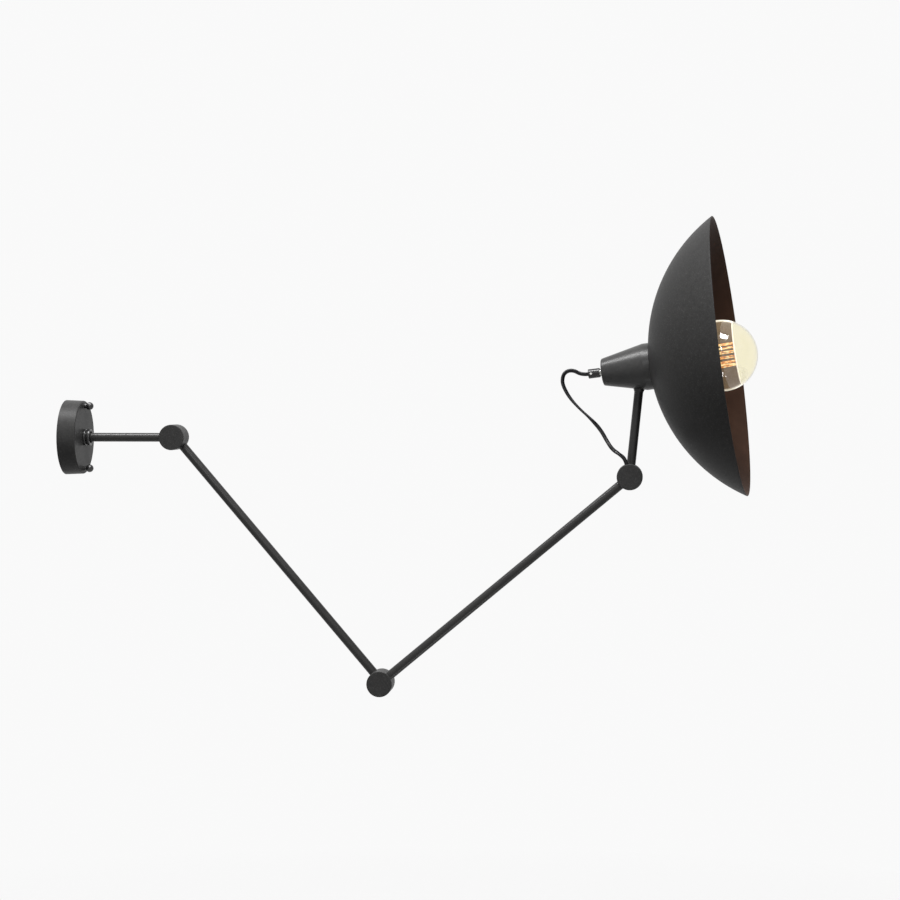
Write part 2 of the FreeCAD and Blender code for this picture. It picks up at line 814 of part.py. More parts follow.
def make_lampholder():
    outer, wall = dim.holder_dia / 2, dim.holder_wall
    neck = dim.holder_cap_neck_dia / 2
    length = dim.holder_cap_length
    cap = turned(
        "holder_cap",
        [
            (thread_hole, 0),
            (neck, 0),
            (neck, dim.holder_cap_neck_length),
            (outer, length - wall),
            (outer, length),
            (thread_hole, length),
        ],
    )
    keep(cap, "holder_cap", lifted(holder_cap_at, head))

    start = dim.holder_start
    flange = dim.holder_flange_dia / 2
    flange_top = flange_front - start
    flange_low = flange_top - dim.holder_flange_thick
    floor_top = holder_floor_top - start
    floor_low = floor_top - dim.holder_floor_thick
    contact_hole = dim.contact_dia / 2 + dim.thread_clearance
    body = turned(
        "holder_body",
        [
            (outer - wall, 0),
            (outer, 0),
            (outer, flange_low),
            (flange, flange_low),
            (flange, flange_top),
            (outer, flange_top),
            (outer, dim.holder_end - start),
            (outer - wall, dim.holder_end - start),
            (outer - wall, floor_top),
            (contact_hole, floor_top),
            (contact_hole, floor_low),
            (outer - wall, floor_low),
        ],
    )
    keep(body, "holder_body", lifted(start, head))
    inner = dim.lamp_shell_bore_dia / 2
    shell = ring("holder_shell", inner, inner + dim.lamp_shell_wall, dim.lamp_shell_length)
    keep(shell, "holder_shell", lifted(holder_floor_top, head))
    rivet = cylinder(dim.contact_dia / 2, dim.holder_floor_thick + dim.contact_height)
    keep(rivet, "holder_contact", lifted(holder_floor_top - dim.holder_floor_thick, head))


def make_shade():
    """A spun dome, part of a ball, with a hole at its apex for the lampholder."""
    rim, wall = rim_radius, dim.shade_wall
    inner_ball = shade_radius - wall
    inner_rim = math.sqrt(float(inner_ball) ** 2 - float(shade_radius - dim.shade_depth) ** 2)
    dome = turned(
        "shade",
        [
            (shade_hole, shade_drop(shade_hole), shade_radius),
            (rim, dim.shade_depth),
            (inner_rim, dim.shade_depth, -inner_ball),
            (shade_hole, shade_drop(shade_hole, wall)),
        ],
    )
    keep(dome, "shade", lifted(dim.shade_from_stem, head))
    outer = dim.shade_ring_dia / 2
    nut = ring("shade_ring", dim.holder_dia / 2 + dim.thread_clearance, outer, dim.shade_ring_height)
    seat_height = dim.shade_from_stem + shade_drop(outer, wall) + dim.shade_ring_clearance
    keep(nut, "shade_ring", lifted(seat_height, head))


# ---------------------------------------------------------------- bulb

globe_centre = dim.bulb_length - globe_radius
base_top = dim.foot_height + dim.base_length
neck_radius = dim.bulb_neck_dia / 2
neck_height = base_top + dim.bulb_neck_straight
# The bulb leans a little in its holder, about the middle of its base.
base_middle = dim.foot_height + dim.base_length / 2
lean = Placement(Vector(), Rotation(BACK, float(dim.bulb_lean)), Vector(0, 0, float(base_middle)))
bulb = lifted(lamp_tip, head).multiply(lean)

# The neck's hollow bend is as large as lets it touch the neck and the globe.
bend_rise = globe_centre - neck_height
bend_squares = bend_rise * bend_rise + neck_radius * neck_radius - globe_radius * globe_radius
neck_bend = bend_squares / ((globe_radius - neck_radius) * 2)


def neck_meets_ball(radius):
    """Where the neck's hollow bend runs into a ball inside the globe: radius, height."""
    share = radius / (globe_radius + neck_bend)
    return (neck_radius + neck_bend) * share, globe_centre - bend_rise * share


def make_bulb_glass():
    wall = dim.globe_wall
    meet_radius, meet_height = neck_meets_ball(globe_radius)
    inner_radius, inner_height = neck_meets_ball(globe_radius - wall)
    neck_start = base_top - dim.neck_in_base
    glass = turned(
        "bulb_glass",
        [
            (neck_radius - wall, neck_start),
            (neck_radius, neck_start),
            (neck_radius, neck_height, -neck_bend),
            (meet_radius, meet_height, globe_radius),
            (globe_radius, globe_centre, globe_radius),
            (0, dim.bulb_length),
            (0, dim.bulb_length - wall, -(globe_radius - wall)),
            (globe_radius - wall, globe_centre, -(globe_radius - wall)),
            (inner_radius, inner_height, neck_bend + wall),
            (neck_radius - wall, neck_height),
        ],
    )
    keep(glass, "bulb_glass", bulb)

    skin = globe_radius - wall - dim.thread_clearance
    lining = skin - dim.mirror_wall
    edge = dim.mirror_from_centre
    edge_radius = math.sqrt(float(skin) ** 2 - float(edge) ** 2)
    lining_radius = math.sqrt(float(lining) ** 2 - float(edge) ** 2)
    mirror = turned(
        "bulb_mirror",
        [
            (edge_radius, edge, skin),
            (0, skin),
            (0, lining, -lining),
            (lining_radius, edge),
        ],
    )
    keep(mirror, "bulb_mirror", lifted(globe_centre, bulb))


def make_bulb_base():
    outer, wall = dim.base_dia / 2, dim.base_wall
    foot = dim.foot_dia / 2
    shell = turned(
        "bulb_base",
        [
            (foot, 0),
            (outer, dim.base_shoulder),
            (outer, dim.base_length),
            (outer - wall, dim.base_length),
            (outer - wall, dim.base_shoulder + wall),
            (foot, wall),
        ],
    )
    keep(shell, "bulb_base", lifted(dim.foot_height, bulb))
    button = turned(
        "bulb_foot",
        [
            (0, 0),
            (dim.foot_tip_dia / 2, 0),
            (foot - dim.thread_clearance, dim.foot_height - wall),
            (foot - dim.thread_clearance, dim.foot_height + wall),
            (0, dim.foot_height + wall),
        ],
    )
    keep(button, "bulb_foot", bulb)


def make_filament():
    """The glass flare and rod that carry a cage of long straight strands."""
    rod = dim.mount_rod_dia / 2
    foot_top = dim.foot_height + dim.base_wall
    rod_length = globe_centre - foot_top + dim.rod_above_centre
    cage_start = globe_centre - foot_top - dim.cage_below_centre
    mount = turned(
        "filament_mount",
        [
            (0, 0),
            (dim.flare_dia / 2, 0),
            (dim.flare_top_dia / 2, dim.flare_length),
            (rod, dim.flare_length + dim.flare_taper_length),
            (rod, rod_length),
            (0, rod_length),
        ],
    )
    mount_place = lifted(foot_top, bulb)
    keep(mount, "filament_mount", mount_place)

    wire = dim.filament_dia / 2
    cage = dim.cage_dia / 2
    pieces = []
    spoke_start = rod + dim.thread_clearance
    for height in (cage_start, cage_start + dim.cage_length):
        hoop = doc.addObject("Part::Torus", "Torus")
        bind(hoop, Radius1=cage, Radius2=dim.hoop_wire_dia / 2)
        hoop.Placement = lifted(height)
        pieces.append(hoop)
        for spoke in range(FILAMENT_SPOKES):
            turn = 360 * spoke / FILAMENT_SPOKES
            pieces.append(cylinder(wire, cage - spoke_start, across(height, turn, spoke_start)))
    for strand in range(FILAMENT_STRANDS):
        turn = 360 * strand / FILAMENT_STRANDS
        foot = across(cage_start, turn, cage).Base
        pieces.append(cylinder(wire, dim.cage_length, Placement(foot, Rotation())))
    keep(fused("filaments", *pieces), "filaments", mount_place)


# ---------------------------------------------------------------- leads and cord


def make_rod_lead():
    """The lead from the canopy along the rod, turned back through the first pivot."""
    start = rod_thread_at - dim.nut_overhang
    along = cylinder(lead_radius, dim.rod_to_shoulder - start, seat(OUT * float(start), OUT, UP))
    through = cylinder(lead_radius, pivot_end - half_middle, seat(shoulder, BACK, UP))
    bend = doc.addObject("Part::Sphere", "Sphere")
    bind(bend, Radius=lead_radius)
    bend.Placement = Placement(shoulder, Rotation())
    keep(fused("rod_lead", along, through, bend), "rod_lead")


def make_upper_arm_lead():
    """The lead in the upper arm, lying on the tube's wall between the wire cavities."""
    slack = dim.socket_depth / 2
    inset = tube_seat - slack
    rest = tube_bore - lead_radius - dim.cord_hole_clearance
    place = seat(shoulder + BEHIND, in_plane(dim.upper_arm_angle), BACK)
    side = Placement(Vector(float(rest), 0, float(inset)), Rotation())
    keep(cylinder(lead_radius, dim.arm_centres - inset * 2), "upper_arm_lead", place.multiply(side))


def make_fore_arm_lead():
    """The lead from the second pivot along the forearm and out of the cord port."""
    way = in_plane(dim.fore_arm_angle)
    back_run = cylinder(lead_radius, pivot_end - half_middle, seat(elbow, BACK, UP))
    along = cylinder(lead_radius, dim.arm_centres, seat(elbow, way, BACK))
    port_way = in_plane(dim.cord_port_angle)
    out = cylinder(lead_radius, port_depth - dim.lead_end_gap, seat(wrist, port_way, BACK))
    bends = []
    for centre in (elbow, wrist):
        bend = doc.addObject("Part::Sphere", "Sphere")
        bind(bend, Radius=lead_radius)
        bend.Placement = Placement(centre, Rotation())
        bends.append(bend)
    keep(fused("fore_arm_lead", back_run, along, out, *bends), "fore_arm_lead")


def make_head_lead():
    start = gland_back + dim.lead_end_gap
    length = head_thread_end + dim.nut_overhang - start
    keep(cylinder(lead_radius, length), "head_lead", lifted(start, head))


port_depth = knuckle_radius - dim.knuckle_round
cord_start = head.multVec(Vector(0, 0, float(gland_back)))
cord_end = wrist + in_plane(dim.cord_port_angle) * float(port_depth)

# The bends of the free cord between the gland and the wrist, from the head down.
CORD_BENDS = [
    Vector(702.2, 26.65, 84.68),
    Vector(689.6, 26.8, 91.6),
    Vector(678.4, 25.6, 88.2),
    Vector(675.3, 23.4, 76.5),
    Vector(679.0, 20.8, 65.6),
    Vector(686.9, 17.8, 52.6),
    Vector(699.2, 14.8, 39.2),
    Vector(714.3, 11.8, 25.8),
    Vector(727.5, 9.0, 11.5),
    Vector(736.3, 6.4, -4.3),
    Vector(743.4, 4.2, -15.1),
    Vector(753.0, 2.0, -21.5),
    Vector(760.508, 0.0, -27.7),
]


def rounded_route(points):
    """Straight runs joined by tangent arcs, each as large as its two runs allow."""
    run_share = 0.45
    edges, radii = [], []
    here = points[0]
    for before, corner, after in zip(points, points[1:], points[2:]):
        arriving = (corner - before).normalize()
        leaving = (after - corner).normalize()
        half_turn = arriving.getAngle(leaving) / 2
        inset = run_share * min((corner - before).Length, (after - corner).Length)
        radius = inset / math.tan(half_turn)
        start = corner - arriving * inset
        end = corner + leaving * inset
        inward = (leaving - arriving).normalize()
        middle = corner + inward * (radius / math.cos(half_turn) - radius)
        edges.append(Part.LineSegment(here, start).toShape())
        edges.append(Part.Arc(start, middle, end).toShape())
        radii.append(radius)
        here = end
    edges.append(Part.LineSegment(here, points[-1]).toShape())
    return Part.Wire(edges), radii


def make_cord():
    route, radii = rounded_route([cord_start] + CORD_BENDS + [cord_end])
    way = (CORD_BENDS[0] - cord_start).normalize()
    section = Part.Wire(Part.makeCircle(float(lead_radius), cord_start, way))
    tube = doc.addObject("Part::Feature", "cord")
    tube.Shape = route.makePipeShell([section], True, False)
    keep(tube, "cord")
    expected = math.pi * float(lead_radius) ** 2 * route.Length
    print(f"cord length {route.Length:.1f} mm, volume {tube.Shape.Volume:.0f} of {expected:.0f} mm3")
    print("cord radii", " ".join(f"{radius:.1f}" for radius in radii))


# ---------------------------------------------------------------- the whole lamp

make_canopy()
make_canopy_fasteners()
make_bracket()
make_terminal_block()
make_collar()
make_wall_rod()
make_knuckle("shoulder", shoulder, -OUT, in_plane(dim.upper_arm_angle))
make_knuckle("elbow", elbow, in_plane(dim.fore_arm_angle), -in_plane(dim.upper_arm_angle))
port_turn = float(dim.fore_arm_angle) + 180 - float(dim.cord_port_angle)
make_knuckle("wrist", wrist, -in_plane(dim.fore_arm_angle), stem_way, port_turn)
make_arm("upper_arm", shoulder + BEHIND, in_plane(dim.upper_arm_angle))
make_arm("fore_arm", elbow, in_plane(dim.fore_arm_angle))
make_stem()
make_cone()
make_gland()
make_head_thread()
make_lampholder()
make_shade()
make_bulb_glass()
make_bulb_base()
make_filament()
make_rod_lead()
make_upper_arm_lead()
make_fore_arm_lead()
make_head_lead()
make_cord()
doc.recompute()

failed = [thing.Name for thing in doc.Objects if {"Invalid", "Error"} & set(thing.State)]
unsound = [piece.Label for piece in subparts if piece.Shape.isNull() or not piece.Shape.isValid()]
empty = [piece.Label for piece in subparts if not piece.Shape.Solids]
if failed or unsound or empty:
    raise RuntimeError(f"failed {failed}, unsound {unsound}, empty {empty}")

os.makedirs("parts", exist_ok=True)
for piece in subparts:
    piece.Shape.exportStep(f"parts/{piece.Label}.step")
print(f"{len(subparts)} sub-parts, {sum(len(piece.Shape.Solids) for piece in subparts)} solids")
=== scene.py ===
# %% [markdown]
# # A black wall lamp on two folding arms
#
# The lamp is a round canopy, a rod that swivels in it, two long tubes, three drum-shaped
# friction knuckles and a spun steel shade round a big globe bulb with a mirrored cap.
#
# Every hard part comes ready made, at its real size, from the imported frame. This lesson
# dresses it: a powder coat for the metal, a bulb that reads as real glass, and a cord
# that hangs as a cord does. A hard part is never moved. Where a finer shape is wanted, a
# new mesh takes its place and rides on the same body.

import json
import math

import bmesh
import bpy
from mathutils import Matrix, Vector


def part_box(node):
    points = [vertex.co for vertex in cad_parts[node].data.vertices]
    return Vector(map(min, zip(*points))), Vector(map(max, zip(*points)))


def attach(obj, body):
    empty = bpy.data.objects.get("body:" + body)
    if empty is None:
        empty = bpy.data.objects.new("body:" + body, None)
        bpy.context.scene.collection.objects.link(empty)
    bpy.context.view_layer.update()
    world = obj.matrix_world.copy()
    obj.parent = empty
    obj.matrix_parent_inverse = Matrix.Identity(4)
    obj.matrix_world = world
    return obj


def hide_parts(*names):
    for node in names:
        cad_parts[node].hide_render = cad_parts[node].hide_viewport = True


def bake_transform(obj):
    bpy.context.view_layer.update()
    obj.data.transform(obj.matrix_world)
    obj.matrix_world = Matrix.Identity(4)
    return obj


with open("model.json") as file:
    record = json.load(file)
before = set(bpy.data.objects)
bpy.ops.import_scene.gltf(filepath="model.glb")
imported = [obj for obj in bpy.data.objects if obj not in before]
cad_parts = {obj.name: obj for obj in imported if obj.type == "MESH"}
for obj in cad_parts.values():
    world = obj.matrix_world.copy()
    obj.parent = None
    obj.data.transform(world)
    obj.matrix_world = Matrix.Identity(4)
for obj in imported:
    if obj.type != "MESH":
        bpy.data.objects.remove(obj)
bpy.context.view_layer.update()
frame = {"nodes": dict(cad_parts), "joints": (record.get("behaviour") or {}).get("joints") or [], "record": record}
nodes = frame["nodes"]
scene = bpy.context.scene

# %% [markdown]
# ## The camera
#
# The lamp was photographed level, from straight in front of its head, with a long lens.
# A level camera keeps the wall rod level, and the horizon is brought to its place in the
# picture by a small lens shift instead of a tilt, which would make uprights lean.

# %% Camera
MM = 0.001
PICTURE = 900
SENSOR_WIDTH = 36.0
FOCAL_PIXELS = 2057.14
HORIZON_ROW = 396.57
CAMERA_TURN = math.radians(5.52)
CAMERA_PLACE = Vector((791.82, -2748.96, 55.46)) * MM

lens = bpy.data.cameras.new("lens")
lens.sensor_width = SENSOR_WIDTH
lens.lens = FOCAL_PIXELS / PICTURE * SENSOR_WIDTH
lens.shift_y = (HORIZON_ROW - PICTURE / 2) / PICTURE
camera = bpy.data.objects.new("camera", lens)
camera.location = CAMERA_PLACE
camera.rotation_euler = (math.pi / 2, 0, CAMERA_TURN)
scene.collection.objects.link(camera)
scene.camera = camera
print(f"lens {lens.lens:.1f} mm, shift {lens.shift_y:.4f}")

# %% [markdown]
# ## Places on the lamp
#
# The head's parts are all turned about one axis, so one place on that axis, with its Z
# along the axis, is enough to build them. It is worked out from the wrist joint, the
# stem's length and a few angles, exactly as the lamp is put together.

# %% The head's own place
joint_at = {joint["name"]: Vector(joint["pos_m"]) for joint in frame["joints"]}
HALF_STEP = 17.6 * MM
STEM_LENGTH = 147.2 * MM
STEM_ANGLE = 84.0
HEAD_ANGLE = 76.97
HEAD_TURN = -6.6


def in_plane(angle):
    """The direction in the arms' plane at an angle above +X."""
    return Vector((math.cos(math.radians(angle)), 0, math.sin(math.radians(angle))))


stem_way = in_plane(STEM_ANGLE)
head_turned = Matrix.Rotation(math.radians(HEAD_TURN), 3, stem_way)
head_way = head_turned @ in_plane(STEM_ANGLE - HEAD_ANGLE)
head_centre = joint_at["wrist"] + Vector((0, HALF_STEP, 0)) + stem_way * STEM_LENGTH
side_way = head_way.cross(stem_way).normalized()
head = Matrix((side_way.cross(head_way), side_way, head_way)).transposed().to_4x4()
head.translation = head_centre
print("head at", [round(value, 4) for value in head_centre])

# %% [markdown]
# ## Finishes as sums
#
# A finish is a small sum over noises and masks. Instead of placing Math nodes by hand,
# the class below lets Python's own operators add them, so that a line of code reads like
# the sum it makes. Everything that isn't arithmetic comes from one method, `node`.

# %% Wire and Finish
VALUE_MIX = {"data_type": "RGBA"}
MIX_FACTOR, MIX_FIRST, MIX_SECOND, MIX_RESULT = 0, 6, 7, 2


class Wire:
    """What a node gives out; arithmetic on it adds Math nodes to its finish."""

    def __init__(self, finish, socket):
        self.finish = finish
        self.socket = socket

    def math(self, operation, first, second):
        return self.finish.node("ShaderNodeMath", {"operation": operation}, {0: first, 1: second})

    def __add__(self, other):
        return self.math("ADD", self, other)

    def __sub__(self, other):
        return self.math("SUBTRACT", self, other)

    def __rsub__(self, other):
        return self.math("SUBTRACT", other, self)

    def __mul__(self, other):
        return self.math("MULTIPLY", self, other)

    __radd__ = __add__
    __rmul__ = __mul__


class Finish:
    """A material with one Principled surface, and the two ways of adding to it."""

    def __init__(self, name, **constants):
        self.material = bpy.data.materials.new(name)
        self.material.use_nodes = True
        self.tree = self.material.node_tree
        self.surface = self.tree.nodes["Principled BSDF"]
        for socket, value in constants.items():
            self.plug(self.surface.inputs[socket.replace("_", " ")], value)
        print("finish", name)

    def plug(self, socket, value):
        if isinstance(value, Wire):
            self.tree.links.new(value.socket, socket)
        else:
            socket.default_value = value

    def node(self, kind, settings=None, inputs=None, output=0):
        made = self.tree.nodes.new(kind)
        for name, value in (settings or {}).items():
            if name == "stops":
                for element, (position, shade) in zip(made.color_ramp.elements, value):
                    element.position = position
                    element.color = shade
            else:
                setattr(made, name, value)
        for socket, value in (inputs or {}).items():
            self.plug(made.inputs[socket], value)
        return Wire(self, made.outputs[output])

    def noise(self, grain, detail=2.0, roughness=0.5):
        """Even cloudy noise whose patches are about one grain across, in metres."""
        place = self.node("ShaderNodeTexCoord", output="Object")
        sizes = {"Vector": place, "Scale": 1 / grain, "Detail": detail, "Roughness": roughness}
        return self.node("ShaderNodeTexNoise", None, sizes)

    def ramp(self, factor, low, high):
        """0 below low, 1 above high and straight between them."""
        limits = {"From Min": low, "From Max": high}
        return self.node("ShaderNodeMapRange", None, {"Value": factor, **limits})

    def mix(self, factor, first, second):
        colours = {MIX_FACTOR: factor, MIX_FIRST: first, MIX_SECOND: second}
        return self.node("ShaderNodeMix", VALUE_MIX, colours, MIX_RESULT)

    def set(self, socket, value):
        self.plug(self.surface.inputs[socket], value)

    def bump(self, height, depth):
        """Raise the surface by a height of 0 to 1, times a depth in metres."""
        sizes = {"Height": height, "Distance": depth, "Strength": 1.0}
        self.set("Normal", self.node("ShaderNodeBump", None, sizes))


# %% [markdown]
# ## Powder coat
# The sparkle's lighter colour is a painted glint: its flecks are lightened as if they caught the light.
#
# The arms, knuckles, canopy and shade wear one coat: a black polyester powder baked to a
# fine orange-peel texture. Close up it is a skin of tiny rounded grains with a few that
# catch the light. From a step away the grains blur into a soft sheen with a faint
# mottle, so the finish needs three scales, and each of them goes into the colour: grains
# that also lift the surface, sparkle that is also glossier, and a faint mottle.
#
# One function makes five coats. The shade's is the mattest, the tubes' and the cone's are
# glossier and finer, and the ball nuts and the collar wear a smooth satin.

# %% Powder coat
GRAIN = 1.0 * MM
SPARKLE = 1.5 * MM
MOTTLE = 6 * MM
GRAIN_HEIGHT = 0.03 * MM
SPARKLE_RANGE = (0.58, 0.74)
MOTTLE_RANGE = (0.3, 0.7)
MOTTLE_SHARE, PAINTED_GLINT_SHARE, GRAIN_SHARE = 0.15, 0.45, 0.4


def powder_coat(name, dark, light, roughness, gloss, grain_height):
    finish = Finish(name, IOR=1.5, Specular_IOR_Level=gloss)
    grains = finish.noise(GRAIN, detail=1.5)
    sparkle = finish.ramp(finish.noise(SPARKLE, detail=1.0), *SPARKLE_RANGE)
    mottle = finish.ramp(finish.noise(MOTTLE, detail=3.0), *MOTTLE_RANGE)
    # Painted glint: the sparkle's share lightens its flecks. The grains and the mottle are the coat's own random
    # tone.
    blend = MOTTLE_SHARE * mottle + PAINTED_GLINT_SHARE * sparkle + GRAIN_SHARE * grains
    finish.set("Base Color", finish.mix(blend, dark, light))
    finish.set("Roughness", roughness + 0.05 * mottle - 0.1 * sparkle)
    finish.bump(grains + 0.4 * sparkle, grain_height)
    return finish.material


COAT_DARK = (0.016, 0.0158, 0.0157, 1)
COAT_LIGHT = (0.047, 0.0465, 0.046, 1)
SHADE_DARK = (0.014, 0.0138, 0.0137, 1)
SHADE_LIGHT = (0.046, 0.0455, 0.045, 1)
TUBE_DARK = (0.010, 0.0098, 0.0097, 1)
TUBE_LIGHT = (0.026, 0.0255, 0.025, 1)
SATIN_DARK = (0.008, 0.008, 0.008, 1)
SATIN_LIGHT = (0.016, 0.016, 0.016, 1)
black_coat = powder_coat("black_coat", COAT_DARK, COAT_LIGHT, 0.4, 0.08, GRAIN_HEIGHT)
shade_coat = powder_coat("shade_coat", SHADE_DARK, SHADE_LIGHT, 0.44, 0.03, GRAIN_HEIGHT)
tube_coat = powder_coat("tube_coat", TUBE_DARK, TUBE_LIGHT, 0.3, 0.22, GRAIN_HEIGHT / 3)
cone_coat = powder_coat("cone_coat", COAT_DARK, COAT_LIGHT, 0.3, 0.18, GRAIN_HEIGHT / 2)
satin_black = powder_coat("satin_black", SATIN_DARK, SATIN_LIGHT, 0.24, 0.5, GRAIN_HEIGHT / 6)

# %% [markdown]
# ## Inside the shade
#
# The dome's inside has a satin coat of its own, smoother than the outside. Its warm dark
# brown is painted light: it stands in for the lit bulb's warm glow on the inside. Later the
# dome's inner faces take it, and it only needs a satin brown with a little cloudiness from the spray gun.

# %% Warm inside
SPRAY_CLOUD = 18 * MM
BULB_WARMED_DARK = (0.028, 0.0134, 0.0082, 1)
BULB_WARMED_LIGHT = (0.04, 0.02, 0.0124, 1)


def bulb_warmed_inside():
    finish = Finish("bulb_warmed_inside", IOR=1.48, Specular_IOR_Level=0.08)
    cloud = finish.ramp(finish.noise(SPRAY_CLOUD, detail=4.0), 0.25, 0.75)
    grains = finish.noise(GRAIN, detail=1.0)
    # Painted light: the warm brown stands in for the lit bulb's glow on the inner coat.
    finish.set("Base Color", finish.mix(cloud, BULB_WARMED_DARK, BULB_WARMED_LIGHT))
    finish.set("Roughness", 0.52 + 0.1 * grains)
    finish.bump(grains, GRAIN_HEIGHT / 2)
    return finish.material


shade_inside = bulb_warmed_inside()

# %% [markdown]
# ## Small finishes
#
# The rest are quick: zinc plate on the hidden steel and on the bright neck behind the
# cone, brass and nickel in the lampholder, black plastics from matt to gloss, and the
# cord's PVC. Each gets the one irregularity that its real surface shows.

# %% Metals and plastics
STREAK_DARKER = 0.82
SKIN_LIGHTER = 1.35


def scaled(colour, share):
    """A colour with its red, green and blue times a share."""
    return [part * share for part in colour[:3]] + [1]


def brushed(name, colour, roughness, streak=0.25 * MM):
    """Plated or pressed metal with fine drawn streaks in its gloss."""
    finish = Finish(name, Metallic=1.0)
    streaks = finish.noise(streak, detail=3.0)
    finish.set("Base Color", finish.mix(streaks, colour, scaled(colour, STREAK_DARKER)))
    finish.set("Roughness", roughness + 0.14 * streaks)
    finish.bump(streaks, 0.006 * MM)
    return finish.material


def moulded(name, colour, roughness, skin=0.4 * MM, height=0.008 * MM, gloss=0.5):
    """Moulded plastic: one colour, with the mould's skin in its gloss."""
    finish = Finish(name, IOR=1.46, Specular_IOR_Level=gloss)
    skin_noise = finish.noise(skin, detail=2.0)
    finish.set("Base Color", finish.mix(skin_noise, colour, scaled(colour, SKIN_LIGHTER)))
    finish.set("Roughness", roughness + 0.08 * skin_noise)
    finish.bump(skin_noise, height)
    return finish.material


zinc = brushed("zinc_plate", (0.72, 0.72, 0.70, 1), 0.22)
brass = brushed("pressed_brass", (0.78, 0.56, 0.26, 1), 0.2)
nickel = brushed("nickel_plate", (0.66, 0.63, 0.58, 1), 0.2)
nylon = moulded("black_nylon", (0.02, 0.02, 0.02, 1), 0.5)
phenolic = moulded("black_phenolic", (0.014, 0.0135, 0.013, 1), 0.32)
cream_block = moulded("cream_polyamide", (0.62, 0.58, 0.48, 1), 0.42)
SMOOTH = 0.002 * MM
gland_black = moulded(
    "gloss_black", (0.004, 0.004, 0.004, 1), 0.24, skin=3 * MM, height=SMOOTH, gloss=0.4
)
cord_skin = moulded(
    "cord_pvc", (0.003, 0.003, 0.0035, 1), 0.22, skin=2 * MM, height=SMOOTH, gloss=0.22
)
foot_glass = moulded("black_vitrite", (0.01, 0.01, 0.014, 1), 0.12)

# %% [markdown]
# ## The bulb's finishes
#
# The globe is clear glass with a smoky tint, and its front cap is silvered inside with a
# pale gold mirror. Glass this thin hardly bends light, so it is made as a see-through
# skin that grows denser and shinier towards its edge: that keeps the strands behind it
# sharp. Its faint warm glow all over is painted light, and the cream line along its
# outline is a painted reflection that glows. How far the skin turns from the eye drives
# its density and that line: a Fresnel node would do, but on the skin's inner face it
# reflects everything.

# %% Glass, mirror and glow
PAINTED_EDGE_CREAM = (1.0, 0.93, 0.76, 1)
PAINTED_SMOKE_GLOW = (0.20, 0.145, 0.09, 1)
SMOKE_DARK = (0.12, 0.088, 0.052, 1)
SMOKE_PALE = (0.18, 0.135, 0.08, 1)
GOLD_DEEP = (0.95, 0.90, 0.66, 1)
GOLD_PALE = (0.97, 0.92, 0.70, 1)
WIRE_DULL = (0.34, 0.05, 0.005, 1)
WIRE_WARM = (0.95, 0.36, 0.04, 1)
WIRE_HOT = (1.0, 0.84, 0.42, 1)


def smoked_glass():
    finish = Finish(
        "smoked_glass", IOR=1.7, Roughness=0.02, Specular_IOR_Level=1.0, Emission_Strength=0.6
    )
    facing = finish.node("ShaderNodeLayerWeight", output="Facing")
    edge = finish.ramp(facing, 0.25, 1.0)
    rim = finish.ramp(facing, 0.66, 0.82)
    haze = finish.ramp(finish.noise(9 * MM, detail=3.0), 0.3, 0.7)
    smoke = finish.mix(haze, SMOKE_DARK, SMOKE_PALE)
    # Painted light: the whole skin glows faintly in a warm smoke colour, and a cream line along its outline is a
    # painted reflection that glows.
    finish.set("Base Color", finish.mix(rim, smoke, PAINTED_EDGE_CREAM))
    finish.set("Emission Color", finish.mix(rim, PAINTED_SMOKE_GLOW, PAINTED_EDGE_CREAM))
    finish.set("Alpha", 0.26 + 0.1 * haze + 0.2 * edge + 0.45 * rim)
    return finish.material


def gold_mirror():
    finish = Finish("gold_mirror", Metallic=1.0)
    cloud = finish.ramp(finish.noise(14 * MM, detail=3.0), 0.3, 0.7)
    finish.set("Base Color", finish.mix(cloud, GOLD_DEEP, GOLD_PALE))
    finish.set("Roughness", 0.07 + 0.05 * cloud)
    return finish.material


def glowing_wire():
    finish = Finish(
        "glowing_wire", Base_Color=(0.5, 0.2, 0.05, 1), Roughness=0.4, Emission_Strength=1.9
    )
    patches = finish.noise(3.4 * MM, detail=2.0)
    ember = finish.mix(finish.ramp(patches, 0.36, 0.47), WIRE_DULL, WIRE_WARM)
    hot = finish.mix(finish.ramp(patches, 0.47, 0.56), ember, WIRE_HOT)
    finish.set("Emission Color", hot)
    return finish.material


def mirror_edge_glow():
    """The thick edge of the silvering, given a painted glow all round that stands in for the wire's light caught
    on it.
    """
    finish = Finish("mirror_edge_glow", Roughness=0.3, Emission_Strength=1.0)
    cloud = finish.noise(4 * MM)
    finish.set("Base Color", finish.mix(cloud, (0.95, 0.92, 0.82, 1), (0.98, 0.96, 0.88, 1)))
    finish.set("Emission Color", finish.mix(cloud, PAINTED_EDGE_CREAM, (1.0, 0.96, 0.84, 1)))
    return finish.material


def clear_glass():
    finish = Finish("clear_glass", IOR=1.5, Roughness=0.03)
    edge = finish.node("ShaderNodeFresnel", None, {"IOR": 1.5})
    finish.set("Base Color", (0.35, 0.33, 0.28, 1))
    finish.set("Alpha", 0.12 + 0.8 * edge)
    return finish.material


def cap_lacquer():
    """The glass over the mirror: only its gloss shows, as pale as the mirror under it."""
    finish = Finish("cap_glass", Metallic=1.0, Roughness=0.03)
    facing = finish.node("ShaderNodeLayerWeight", output="Facing")
    finish.set("Base Color", (0.99, 0.96, 0.84, 1))
    finish.set("Alpha", 0.1 + 0.6 * finish.ramp(facing, 0.6, 0.95))
    return finish.material


globe_glass = smoked_glass()
cap_glass = cap_lacquer()
cap_mirror = gold_mirror()
cap_edge_glow = mirror_edge_glow()
glow = glowing_wire()
inner_glass = clear_glass()

# %% [markdown]
# ## Dress the hard parts
#
# Each hard part carries a material slot from the record. The finish goes into the slot
# of the part's own mesh, which leaves its shape as it is.

